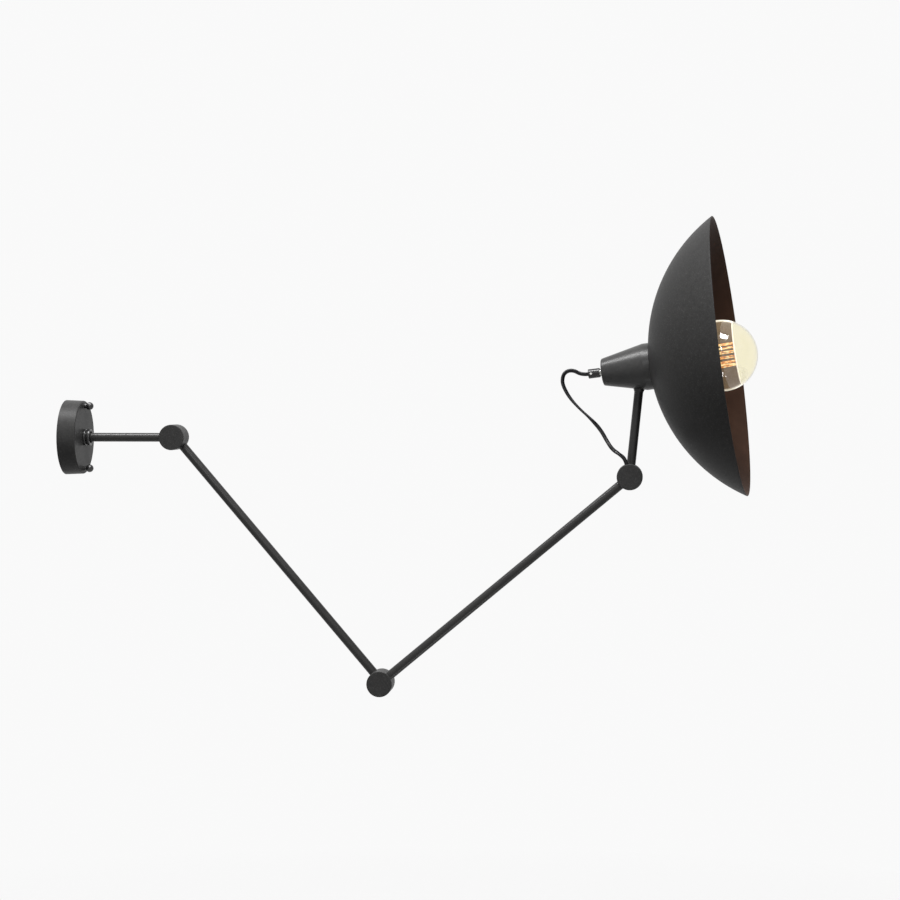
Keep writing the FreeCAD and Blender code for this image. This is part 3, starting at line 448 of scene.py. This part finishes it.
# %% One finish per slot
FINISH_OF = {
    "black_coat": black_coat,
    "shade_coat": shade_coat,
    "zinc_steel": zinc,
    "terminal_plastic": cream_block,
    "washer_plastic": nylon,
    "gland_plastic": gland_black,
    "holder_plastic": phenolic,
    "cord_pvc": cord_skin,
    "brass": brass,
    "nickel": nickel,
    "foot_insulator": foot_glass,
    "smoked_glass": globe_glass,
    "clear_glass": inner_glass,
    "gold_mirror": cap_mirror,
    "filament": glow,
}
FINISH_OF_PART = {
    "ball_nuts": satin_black,
    "wall_rod": tube_coat,
    "upper_arm": tube_coat,
    "fore_arm": tube_coat,
    "stem_tube": tube_coat,
    "head_cone": cone_coat,
}
slot_of = {part["node"]: part["material_slot"] for part in frame["record"]["subparts"]}
for name, thing in nodes.items():
    thing.data.materials.clear()
    thing.data.materials.append(FINISH_OF_PART.get(name) or FINISH_OF[slot_of[name]])
print("dressed", len(nodes), "hard parts")

# %% [markdown]
# ## Turned pieces
#
# Most of the lamp is turned or spun, so one helper makes them all: it takes a closed
# outline of (radius, height) corners in millimetres, rounds the corners that have a
# third number, and spins the result about a place's Z axis. Smooth shading with sharp
# edges kept by angle gives clean highlights.

# %% The turning helpers
ARC_STEPS = 5
SHARP_ANGLE = math.radians(40)


def eased(corners):
    """The outline's points, with an arc in place of each corner that has a radius."""
    points = []
    count = len(corners)
    for index, corner in enumerate(corners):
        here = Vector(corner[:2])
        size = corner[2] if len(corner) > 2 else 0
        if not size:
            points.append(here)
            continue
        before = (Vector(corners[index - 1][:2]) - here).normalized()
        after = (Vector(corners[(index + 1) % count][:2]) - here).normalized()
        half = before.angle(after) / 2
        inset = size / math.tan(half)
        centre = here + (before + after).normalized() * (size / math.sin(half))
        first, last = here + before * inset - centre, here + after * inset - centre
        sweep = first.angle_signed(last)
        for step in range(ARC_STEPS + 1):
            turn = Matrix.Rotation(-sweep * step / ARC_STEPS, 2)
            points.append(centre + turn @ first)
    return points


def spun_mesh(name, outline, place, around=128):
    """Spin a closed outline, in millimetres, about the place's Z axis."""
    rings, verts, faces = [], [], []
    for radius, height in outline:
        on_axis = radius < 1e-6
        ring = []
        for step in range(1 if on_axis else around):
            turn = 2 * math.pi * step / around
            spot = Vector((radius * math.cos(turn), radius * math.sin(turn), height)) * MM
            ring.append(len(verts))
            verts.append(place @ spot)
        rings.append(ring * around if on_axis else ring)
    for here, there in zip(rings, rings[1:] + rings[:1]):
        for step in range(around):
            after = (step + 1) % around
            corners = [here[step], here[after], there[after], there[step]]
            corners = list(dict.fromkeys(corners))
            if len(corners) > 2:
                faces.append(corners)
    mesh = bpy.data.meshes.new(name)
    mesh.from_pydata(verts, [], faces)
    mesh.validate()
    return smoothed(mesh)


def smoothed(mesh):
    """Outward faces, smooth shading, and edges kept sharp where the surface turns."""
    fix = bmesh.new()
    fix.from_mesh(mesh)
    bmesh.ops.recalc_face_normals(fix, faces=fix.faces)
    fix.to_mesh(mesh)
    fix.free()
    mesh.shade_smooth()
    mesh.set_sharp_from_angle(angle=SHARP_ANGLE)
    return mesh


def piece(mesh, finish, body, slot, *stands_for):
    """Put a mesh on a body, dressed, in place of the hard parts that it stands for."""
    thing = bpy.data.objects.new(mesh.name, mesh)
    scene.collection.objects.link(thing)
    mesh.materials.append(finish)
    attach(thing, body)
    if stands_for:
        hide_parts(*stands_for)
    print(mesh.name, len(mesh.polygons), "faces, on", body)
    return thing


# %% [markdown]
# ## The shade
#
# A disc of steel spun over a former to part of a ball, 375 mm across, then trimmed: the
# trimmed edge is eased and shows as a thin lighter line all round. Outside and inside
# have different coats, so the faces on the inner side take the second material, whose warm brown is painted bulb
# light.

# %% The dome
SHADE_DIA = 374.6
SHADE_DEPTH = 107.5
SHADE_WALL = 1.2
SHADE_FROM_STEM = 11.9
HOLDER_DIA = 39.4
HOLE_SPARE = 0.3
DOME_ROWS = 64

ball_radius = (SHADE_DIA ** 2 / 4 + SHADE_DEPTH ** 2) / (2 * SHADE_DEPTH)
ball_centre = SHADE_FROM_STEM + ball_radius


def dome_row(radius, from_hole, to_rim):
    """Points along the dome's side view, from its hole to its rim, on a ball's radius."""
    points = []
    for row in range(DOME_ROWS + 1):
        turn = from_hole + (to_rim - from_hole) * row / DOME_ROWS
        points.append((radius * math.sin(turn), ball_centre - radius * math.cos(turn)))
    return points


def make_dome():
    hole = HOLDER_DIA / 2 + HOLE_SPARE
    inner = ball_radius - SHADE_WALL
    rim_turn = math.asin(SHADE_DIA / 2 / ball_radius)
    ease_turn = SHADE_WALL / 2 / ball_radius
    outside = dome_row(ball_radius, math.asin(hole / ball_radius), rim_turn - ease_turn)
    inside = dome_row(inner, math.asin(hole / inner), rim_turn - ease_turn)
    edge = []
    for step in range(1, 6):
        turn = math.pi * step / 6
        depth = ball_radius - SHADE_WALL / 2 + math.cos(turn) * SHADE_WALL / 2
        angle = rim_turn - ease_turn + math.sin(turn) * ease_turn
        edge.append((depth * math.sin(angle), ball_centre - depth * math.cos(angle)))
    mesh = spun_mesh("shade_dome", outside + edge + inside[::-1], head, around=256)
    piece(mesh, shade_coat, "head_body", "shade_coat", "shade")
    # The inner faces get the warm brown that paints the bulb's light on the inside.
    mesh.materials.append(shade_inside)
    centre = head @ Vector((0, 0, ball_centre * MM))
    limit = (ball_radius - SHADE_WALL * 0.75) * MM
    for face in mesh.polygons:
        face.material_index = int((face.center - centre).length < limit)


# %% [markdown]
# ## The bulb
#
# A 95 mm globe on a short neck. The neck's hollow curve runs into the ball without a
# kink, so the outline is one circle tangent to another. The mirrored cap is a separate
# thin skin inside the glass, and a thin bead along its edge, bright with a painted glow,
# makes the crisp line that the photograph shows across the globe.

# %% Globe and cap
GLOBE_RADIUS = 47.5
GLOBE_WALL = 0.8
GLOBE_FROM_STEM = 108.5
BULB_LENGTH = 138.0
NECK_RADIUS = 12.3
NECK_STRAIGHT = 2.6
CAP_FROM_CENTRE = 20.6
BASE_TOP = 26.4
BASE_MIDDLE = 14.9
BULB_LEAN = math.radians(1.5)
NECK_IN_BASE = 1.6
GLOBE_ROWS = 72
MIRROR_GAP = 0.05
MIRROR_WALL = 0.4
BEAD_RADIUS = 0.7
BEAD_SIDES = 12

lamp_tip = Matrix.Translation((0, 0, (GLOBE_FROM_STEM + GLOBE_RADIUS - BULB_LENGTH) * MM))
to_middle = Matrix.Translation((0, 0, BASE_MIDDLE * MM))
lean = to_middle @ Matrix.Rotation(BULB_LEAN, 4, "Y") @ to_middle.inverted()
bulb = head @ lamp_tip @ lean
globe_height = BULB_LENGTH - GLOBE_RADIUS
neck_height = BASE_TOP + NECK_STRAIGHT
bend_squares = (globe_height - neck_height) ** 2 + NECK_RADIUS ** 2 - GLOBE_RADIUS ** 2
neck_bend = bend_squares / (2 * (GLOBE_RADIUS - NECK_RADIUS))
print(f"neck bend {neck_bend:.2f} mm")


def globe_side(skin):
    """The glass's side view from the neck to the tip, a skin inside its outer face."""
    reach = GLOBE_RADIUS + neck_bend
    bend_radius = neck_bend + skin
    centre_radius = NECK_RADIUS + neck_bend
    meet_turn = math.asin(centre_radius / reach)
    points = [(NECK_RADIUS - skin, BASE_TOP - NECK_IN_BASE)]
    bend_rows = GLOBE_ROWS // 3
    for row in range(bend_rows):
        turn = (math.pi / 2 - meet_turn) * row / bend_rows
        across = centre_radius - bend_radius * math.cos(turn)
        points.append((across, neck_height + bend_radius * math.sin(turn)))
    ball = GLOBE_RADIUS - skin
    for row in range(GLOBE_ROWS + 1):
        turn = meet_turn + (math.pi - meet_turn) * row / GLOBE_ROWS
        points.append((abs(ball * math.sin(turn)), globe_height - ball * math.cos(turn)))
    points[-1] = (0, points[-1][1])
    return points


def make_globe():
    outline = globe_side(0.0) + globe_side(GLOBE_WALL)[::-1]
    mesh = spun_mesh("bulb_globe", outline, bulb)
    piece(mesh, globe_glass, "head_body", "smoked_glass", "bulb_glass")
    mesh.materials.append(cap_glass)
    upright = bulb.inverted()
    for face in mesh.polygons:
        height = (upright @ face.center).z / MM
        face.material_index = int(height > globe_height + CAP_FROM_CENTRE)


def make_cap():
    outer = GLOBE_RADIUS - GLOBE_WALL - MIRROR_GAP
    rows = GLOBE_ROWS // 2
    sides = []
    for ball in (outer, outer - MIRROR_WALL):
        start = math.acos(CAP_FROM_CENTRE / ball)
        turns = [start * (1 - row / rows) for row in range(rows + 1)]
        sides.append([
            (ball * math.sin(turn), globe_height + ball * math.cos(turn)) for turn in turns
        ])
    outline = sides[0] + sides[1][::-1]
    cap = spun_mesh("bulb_cap", outline, bulb)
    piece(cap, cap_mirror, "head_body", "gold_mirror", "bulb_mirror")

    ball = outer - BEAD_RADIUS
    height = CAP_FROM_CENTRE - BEAD_RADIUS
    across = math.sqrt(ball ** 2 - height ** 2)
    turns = [2 * math.pi * step / BEAD_SIDES for step in range(BEAD_SIDES)]
    bead = [
        (across + BEAD_RADIUS * math.cos(turn), globe_height + height + BEAD_RADIUS * math.sin(turn))
        for turn in turns
    ]
    piece(spun_mesh("bulb_cap_edge", bead, bulb), cap_edge_glow, "head_body", "gold_mirror")


# %% [markdown]
# ## The filament
#
# The bulb is a decorative one: a single glowing wire laced up and down between two rings
# of hooks round a glass rod, so it shows as a cage of near-straight strands. A poly
# curve with a little sag in each strand, given a round bevel, makes it, and it is
# turned into a mesh because a mesh is what the frame can pose.

# %% Hairpin wire
CAGE_RADIUS = 15.0
CAGE_START = 45.9
CAGE_LENGTH = 62.0
STRANDS = 14
WIRE_RADIUS = 0.7
STRAND_POINTS = 8
STRAND_BOW = 1.1


def tube_mesh(name, points, radius, sides=10):
    """A round tube along points, by way of a bevelled curve."""
    curve = bpy.data.curves.new(name + "_path", "CURVE")
    curve.dimensions = "3D"
    curve.bevel_depth = radius
    curve.bevel_resolution = sides // 4
    curve.use_fill_caps = True
    spline = curve.splines.new("POLY")
    spline.points.add(len(points) - 1)
    for spot, point in zip(spline.points, points):
        spot.co = (*point, 1)
    holder = bpy.data.objects.new(name + "_path", curve)
    mesh = bpy.data.meshes.new_from_object(holder)
    mesh.name = name
    bpy.data.objects.remove(holder)
    bpy.data.curves.remove(curve)
    return smoothed(mesh)


def make_filament():
    points = []
    for strand in range(STRANDS):
        turn = 2 * math.pi * (strand + 0.25) / STRANDS
        for row in range(STRAND_POINTS + 1):
            share = row / STRAND_POINTS
            along = share if strand % 2 == 0 else 1 - share
            bow = STRAND_BOW * math.sin(math.pi * share) * math.sin(3 * strand)
            radius = CAGE_RADIUS + bow
            height = CAGE_START + CAGE_LENGTH * along
            spot = Vector((radius * math.cos(turn), radius * math.sin(turn), height))
            points.append(bulb @ (spot * MM))
    mesh = tube_mesh("filament_wire", points, WIRE_RADIUS * MM)
    piece(mesh, glow, "head_body", "filament", "filaments")


make_dome()
make_globe()
make_cap()
make_filament()

# %% [markdown]
# ## The cord
#
# A short free cord leaves the gland behind the cone, loops out and falls to the wrist
# knuckle, where it goes back inside. It is a flat twin: two round cores in one skin, so
# its section is a wide oval with a shallow groove, and it twists as it hangs. The route
# is one smooth spline through the air; the oval is swept along it by hand so that the
# twist can be set.
#
# The cord is made here as one still mesh; no bend between the forearm and the head
# is set up. Such a bend can't feed cord out: near the wrist's limits the cord would
# stretch, and thin to under half.

# %% The cord's route
ROUTE = [
    (0.711095, 0.02564, 0.085792),
    (0.7022, 0.02665, 0.08468),
    (0.6896, 0.0268, 0.0916),
    (0.6784, 0.0256, 0.0882),
    (0.6753, 0.0234, 0.0765),
    (0.679, 0.0208, 0.0656),
    (0.6869, 0.0178, 0.0526),
    (0.6992, 0.0148, 0.0392),
    (0.7143, 0.0118, 0.0258),
    (0.7275, 0.009, 0.0115),
    (0.7363, 0.0064, -0.0043),
    (0.7434, 0.0042, -0.0151),
    (0.753, 0.002, -0.0215),
    (0.760508, 0.0, -0.0277),
    (0.762565, 0.0, -0.03595),
]


def spline_points(route, resolution=16):
    """The smooth line through a route, as its NURBS spline gives it."""
    curve = bpy.data.curves.new("route", "CURVE")
    curve.dimensions = "3D"
    curve.resolution_u = resolution
    spline = curve.splines.new("NURBS")
    spline.points.add(len(route) - 1)
    for spot, point in zip(spline.points, route):
        spot.co = (*point, 1)
    spline.order_u = 3
    spline.use_endpoint_u = True
    holder = bpy.data.objects.new("route", curve)
    mesh = bpy.data.meshes.new_from_object(holder)
    points = [vertex.co.copy() for vertex in mesh.vertices]
    bpy.data.objects.remove(holder)
    bpy.data.curves.remove(curve)
    bpy.data.meshes.remove(mesh)
    return points


route_line = spline_points(ROUTE)
steps = [(after - before).length for before, after in zip(route_line, route_line[1:])]
cord_length = sum(steps)
print(f"cord {cord_length * 1000:.1f} mm in {len(steps)} steps")

# %% The flat twin cord
CORD_WIDTH = 5.2 * MM
CORD_THICKNESS = 3.5 * MM
FLATNESS = 0.65
GROOVE = 0.08
GROOVE_WIDTH = 0.2
CORD_SIDES = 28
TWISTS = [
    (0.0, 90), (0.25, 70), (0.52, 24), (0.7, 100),
    (0.845, 112), (0.905, 62), (0.97, 112), (1.0, 114),
]


def cord_section():
    """Points round the cord: a flat oval, pinched to a groove between its two cores."""
    ring = []
    for step in range(CORD_SIDES):
        turn = 2 * math.pi * step / CORD_SIDES
        across = math.copysign(abs(math.cos(turn)) ** FLATNESS, math.cos(turn))
        up = math.copysign(abs(math.sin(turn)) ** FLATNESS, math.sin(turn))
        pinch = 1 - GROOVE * math.exp(-((across / GROOVE_WIDTH) ** 2))
        ring.append((across * CORD_WIDTH / 2, up * pinch * CORD_THICKNESS / 2))
    return ring


def twist_at(share):
    """The twist, in radians, easing from one of the chosen places to the next."""
    for (start, first), (end, last) in zip(TWISTS, TWISTS[1:]):
        if share <= end:
            ease = (1 - math.cos(math.pi * (share - start) / (end - start))) / 2
            return math.radians(first + (last - first) * ease)
    return math.radians(TWISTS[-1][1])


def make_cord():
    ring = cord_section()
    verts, faces = [], []
    side = Vector((0, 1, 0))
    gone = 0.0
    for index, spot in enumerate(route_line):
        before = route_line[max(index - 1, 0)]
        after = route_line[min(index + 1, len(route_line) - 1)]
        way = (after - before).normalized()
        side = (side - way * side.dot(way)).normalized()
        first = Matrix.Rotation(twist_at(gone / cord_length), 3, way) @ side
        second = way.cross(first)
        verts += [spot + first * wide + second * thick for wide, thick in ring]
        if index < len(steps):
            gone += steps[index]
    count = len(ring)
    for row in range(len(route_line) - 1):
        for step in range(count):
            low, high = row * count, (row + 1) * count
            after = (step + 1) % count
            faces.append((low + step, low + after, high + after, high + step))
    faces.append(tuple(range(count))[::-1])
    faces.append(tuple(range(len(verts) - count, len(verts))))
    mesh = bpy.data.meshes.new("cord_twin")
    mesh.from_pydata(verts, [], faces)
    cord = bpy.data.objects.new("cord_twin", smoothed(mesh))
    scene.collection.objects.link(cord)
    mesh.materials.append(cord_skin)
    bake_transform(cord)
    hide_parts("cord")


make_cord()

# %% [markdown]
# ## The bright neck behind the cone
#
# Between the gland and the cone a few turns of hollow brass thread show, zinc plated. A
# real helix reads better than a plain tube, even a few millimetres of it: the outline's
# radius rises and falls with the height, shifted a little at each angle, so the ridges
# wind round.

# %% A threaded tube
THREAD_DIA = 9.9
THREAD_BORE = 6.8
THREAD_PITCH = 1.0
THREAD_DEPTH = 0.5
ROWS_PER_TURN = 8


def threaded_mesh(name, low, high, place, around=48):
    """A hollow threaded tube between two heights, in millimetres."""
    rows = round((high - low) / THREAD_PITCH * ROWS_PER_TURN)
    verts, faces = [], []
    for row in range(rows + 1):
        height = low + (high - low) * row / rows
        for step in range(around):
            share = step / around
            phase = (height / THREAD_PITCH + share) % 1.0
            flank = 1 - abs(2 * phase - 1)
            radius = THREAD_DIA / 2 - THREAD_DEPTH * flank
            turn = 2 * math.pi * share
            spot = Vector((radius * math.cos(turn), radius * math.sin(turn), height))
            verts.append(place @ (spot * MM))
    for height in (high, low):
        for step in range(around):
            turn = 2 * math.pi * step / around
            radius = THREAD_BORE / 2
            spot = Vector((radius * math.cos(turn), radius * math.sin(turn), height))
            verts.append(place @ (spot * MM))
    rings = [list(range(row * around, (row + 1) * around)) for row in range(rows + 3)]
    for here, there in zip(rings, rings[1:] + rings[:1]):
        for step in range(around):
            after = (step + 1) % around
            faces.append((here[step], here[after], there[after], there[step]))
    mesh = bpy.data.meshes.new(name)
    mesh.from_pydata(verts, [], faces)
    return smoothed(mesh)


HEAD_THREAD_LOW = -63.9
HEAD_THREAD_HIGH = -11.0
neck = threaded_mesh("neck_thread", HEAD_THREAD_LOW, HEAD_THREAD_HIGH, head)
piece(neck, zinc, "head_body", "zinc_steel", "head_thread")

# %% [markdown]
# ## The collar
#
# Two turned rings stand on the canopy, and the rod swivels in them. They are glossier
# than the rest. Their corners are eased by more than a hard part's file shows, and those
# round corners are what catches the light, so both rings are turned again here.

# %% Collar rings
COLLAR_RADIUS = 11.2
COLLAR_BORE = 5.0
GROOVE_RADIUS = 9.8
RECESS_RADIUS = 8.3
RECESS_FLOOR = 2.0
GROOVE_DEEP = 1.0
SIDEWAYS = Matrix.Rotation(math.pi / 2, 4, "Y")


def on_rod(node):
    """A place at the near end of a ring on the rod's axis, with its Z along the rod."""
    return Matrix.Translation((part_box(node)[0][0], 0, 0)) @ SIDEWAYS


def ring_height(node):
    low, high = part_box(node)
    return (high[0] - low[0]) / MM


def make_collar():
    top = ring_height("collar_base")
    step = top - GROOVE_DEEP
    base = [
        (COLLAR_BORE, 0), (COLLAR_RADIUS, 0, 0.5), (COLLAR_RADIUS, step, 1.2),
        (GROOVE_RADIUS, step), (GROOVE_RADIUS, top), (COLLAR_BORE, top),
    ]
    mesh = spun_mesh("collar_foot", eased(base), on_rod("collar_base"))
    piece(mesh, satin_black, "canopy_body", "black_coat", "collar_base")
    top = ring_height("collar_ring")
    cup = [
        (COLLAR_BORE, 0), (COLLAR_RADIUS, 0, 1.2), (COLLAR_RADIUS, top, 1.0),
        (RECESS_RADIUS, top, 0.8), (RECESS_RADIUS, RECESS_FLOOR), (COLLAR_BORE, RECESS_FLOOR),
    ]
    mesh = spun_mesh("collar_cup", eased(cup), on_rod("collar_ring"))
    piece(mesh, satin_black, "canopy_body", "black_coat", "collar_ring")


make_collar()

# %% [markdown]
# ## The arms
#
# The two arms are the same tube, brazed 12.8 mm from a knuckle's middle at each end. Long
# straight tubes show every flat facet in their light band, so they are spun again here
# with more sides, each along its own angle and in its own plane.

# %% Arm tubes
TUBE_RADIUS = 6.0
TUBE_BORE = 5.0
TUBE_SEAT = 12.8
ARM_CENTRES = 436.5
UPPER_ARM_ANGLE = -49.35
FORE_ARM_ANGLE = 39.8


def make_arm(node, joint, angle, body):
    low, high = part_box(node)
    way = in_plane(angle)
    foot = joint_at[joint] + way * TUBE_SEAT * MM
    foot.y = (low[1] + high[1]) / 2
    place = Matrix.Translation(foot) @ way.to_track_quat("Z", "Y").to_matrix().to_4x4()
    length = ARM_CENTRES - 2 * TUBE_SEAT
    outline = [(TUBE_BORE, 0), (TUBE_RADIUS, 0), (TUBE_RADIUS, length), (TUBE_BORE, length)]
    mesh = spun_mesh(node + "_tube", outline, place, around=96)
    piece(mesh, tube_coat, body, "black_coat", node)


make_arm("upper_arm", "shoulder", UPPER_ARM_ANGLE, "upper_arm_body")
make_arm("fore_arm", "elbow", FORE_ARM_ANGLE, "fore_arm_body")

# %% [markdown]
# ## Floor and air
#
# The lamp hangs on a wall, so its floor is far below: a pale disc that fades into the
# white of the air around it, so that no horizon cuts across the picture. The air is
# white to the camera, to mirrors and to glass, and gentler as a light.

# %% World
AIR_LIGHT = 0.06
AIR_WHITE = 0.95


def make_world():
    world = bpy.data.worlds.new("air")
    scene.world = world
    world.use_nodes = True
    tree = world.node_tree
    background = tree.nodes["Background"]
    path = tree.nodes.new("ShaderNodeLightPath")
    seen = path.outputs["Is Camera Ray"]
    for other in ("Is Glossy Ray", "Is Transmission Ray"):
        either = tree.nodes.new("ShaderNodeMath")
        either.operation = "MAXIMUM"
        tree.links.new(seen, either.inputs[0])
        tree.links.new(path.outputs[other], either.inputs[1])
        seen = either.outputs[0]
    strength = tree.nodes.new("ShaderNodeMapRange")
    tree.links.new(seen, strength.inputs["Value"])
    strength.inputs["To Min"].default_value = AIR_LIGHT
    strength.inputs["To Max"].default_value = AIR_WHITE
    tree.links.new(strength.outputs["Result"], background.inputs["Strength"])
    background.inputs["Color"].default_value = (1, 1, 1, 1)
    print("air", AIR_LIGHT, "as a light and", AIR_WHITE, "as seen")


make_world()

# %% Floor
FLOOR_DROP = 1.25
FLOOR_SOLID = 0.3
FLOOR_REACH = 3.2
FLOOR_SEEN = 0.52
FLOOR_IN_METAL = 0.5
FLOOR_CENTRE = 0.45
FLOOR_SIDES = 64


def floor_finish():
    finish = Finish(
        "pale_floor", Base_Color=(0.55, 0.55, 0.55, 1), Roughness=0.8, Specular_IOR_Level=0.1
    )
    seen = finish.node("ShaderNodeLightPath", output="Is Camera Ray")
    for kind in ("Is Glossy Ray", "Is Transmission Ray"):
        seen = seen + FLOOR_IN_METAL * finish.node("ShaderNodeLightPath", output=kind)
    finish.set("Emission Color", (1, 1, 1, 1))
    finish.set("Emission Strength", FLOOR_SEEN * seen)
    place = finish.node("ShaderNodeTexCoord", output="Object")
    reach = finish.node("ShaderNodeVectorMath", {"operation": "LENGTH"}, {0: place}, "Value")
    finish.set("Alpha", 1 - finish.ramp(reach, FLOOR_SOLID, FLOOR_REACH))
    return finish.material


def make_floor():
    mesh = bpy.data.meshes.new("floor")
    turns = [2 * math.pi * step / FLOOR_SIDES for step in range(FLOOR_SIDES)]
    rim = [(math.cos(turn) * FLOOR_REACH, math.sin(turn) * FLOOR_REACH, 0) for turn in turns]
    mesh.from_pydata(rim, [], [tuple(range(FLOOR_SIDES))])
    mesh.materials.append(floor_finish())
    floor = bpy.data.objects.new("floor", mesh)
    floor.location = (FLOOR_CENTRE, 0, -FLOOR_DROP)
    scene.collection.objects.link(floor)


make_floor()

# %% [markdown]
# ## Light
#
# One broad softbox hangs above the lamp, to the left and in front: it draws the light
# band along the tops of the tubes and the knuckles' rims, and leaves their undersides
# dark. A weak one at the right keeps the shade's inside from going black, and no mirror
# shows it. A small card in front lifts the faces, and a very weak one below gives the
# head's underside a little light.

# %% Softboxes
def softbox(name, spot, aim, wide, high, power, in_mirrors=True):
    light = bpy.data.lights.new(name, "AREA")
    light.shape = "RECTANGLE"
    light.size = wide
    light.size_y = high
    light.energy = power
    lamp = bpy.data.objects.new(name, light)
    lamp.location = spot
    lamp.rotation_euler = (Vector(aim) - Vector(spot)).to_track_quat("-Z", "Y").to_euler()
    lamp.visible_glossy = in_mirrors
    scene.collection.objects.link(lamp)
    print("softbox", name, power, "W")


LAMP_MIDDLE = (0.45, 0.0, 0.0)
softbox("overhead", (0.15, -0.75, 2.3), LAMP_MIDDLE, 3.0, 0.7, 210)
softbox("right_fill", (2.2, -1.0, 1.3), LAMP_MIDDLE, 1.2, 1.2, 11, in_mirrors=False)
softbox("front_card", (0.55, -2.8, 1.25), LAMP_MIDDLE, 0.35, 0.5, 20)
softbox("under_card", (1.0, -0.4, -1.1), (0.85, 0.0, 0.1), 0.2, 0.15, 1.2)

# %% [markdown]
# ## Finish
#
# The view transform is set to Standard, so that colours come out as they are written.

# %% View transform
scene.view_settings.view_transform = "Standard"
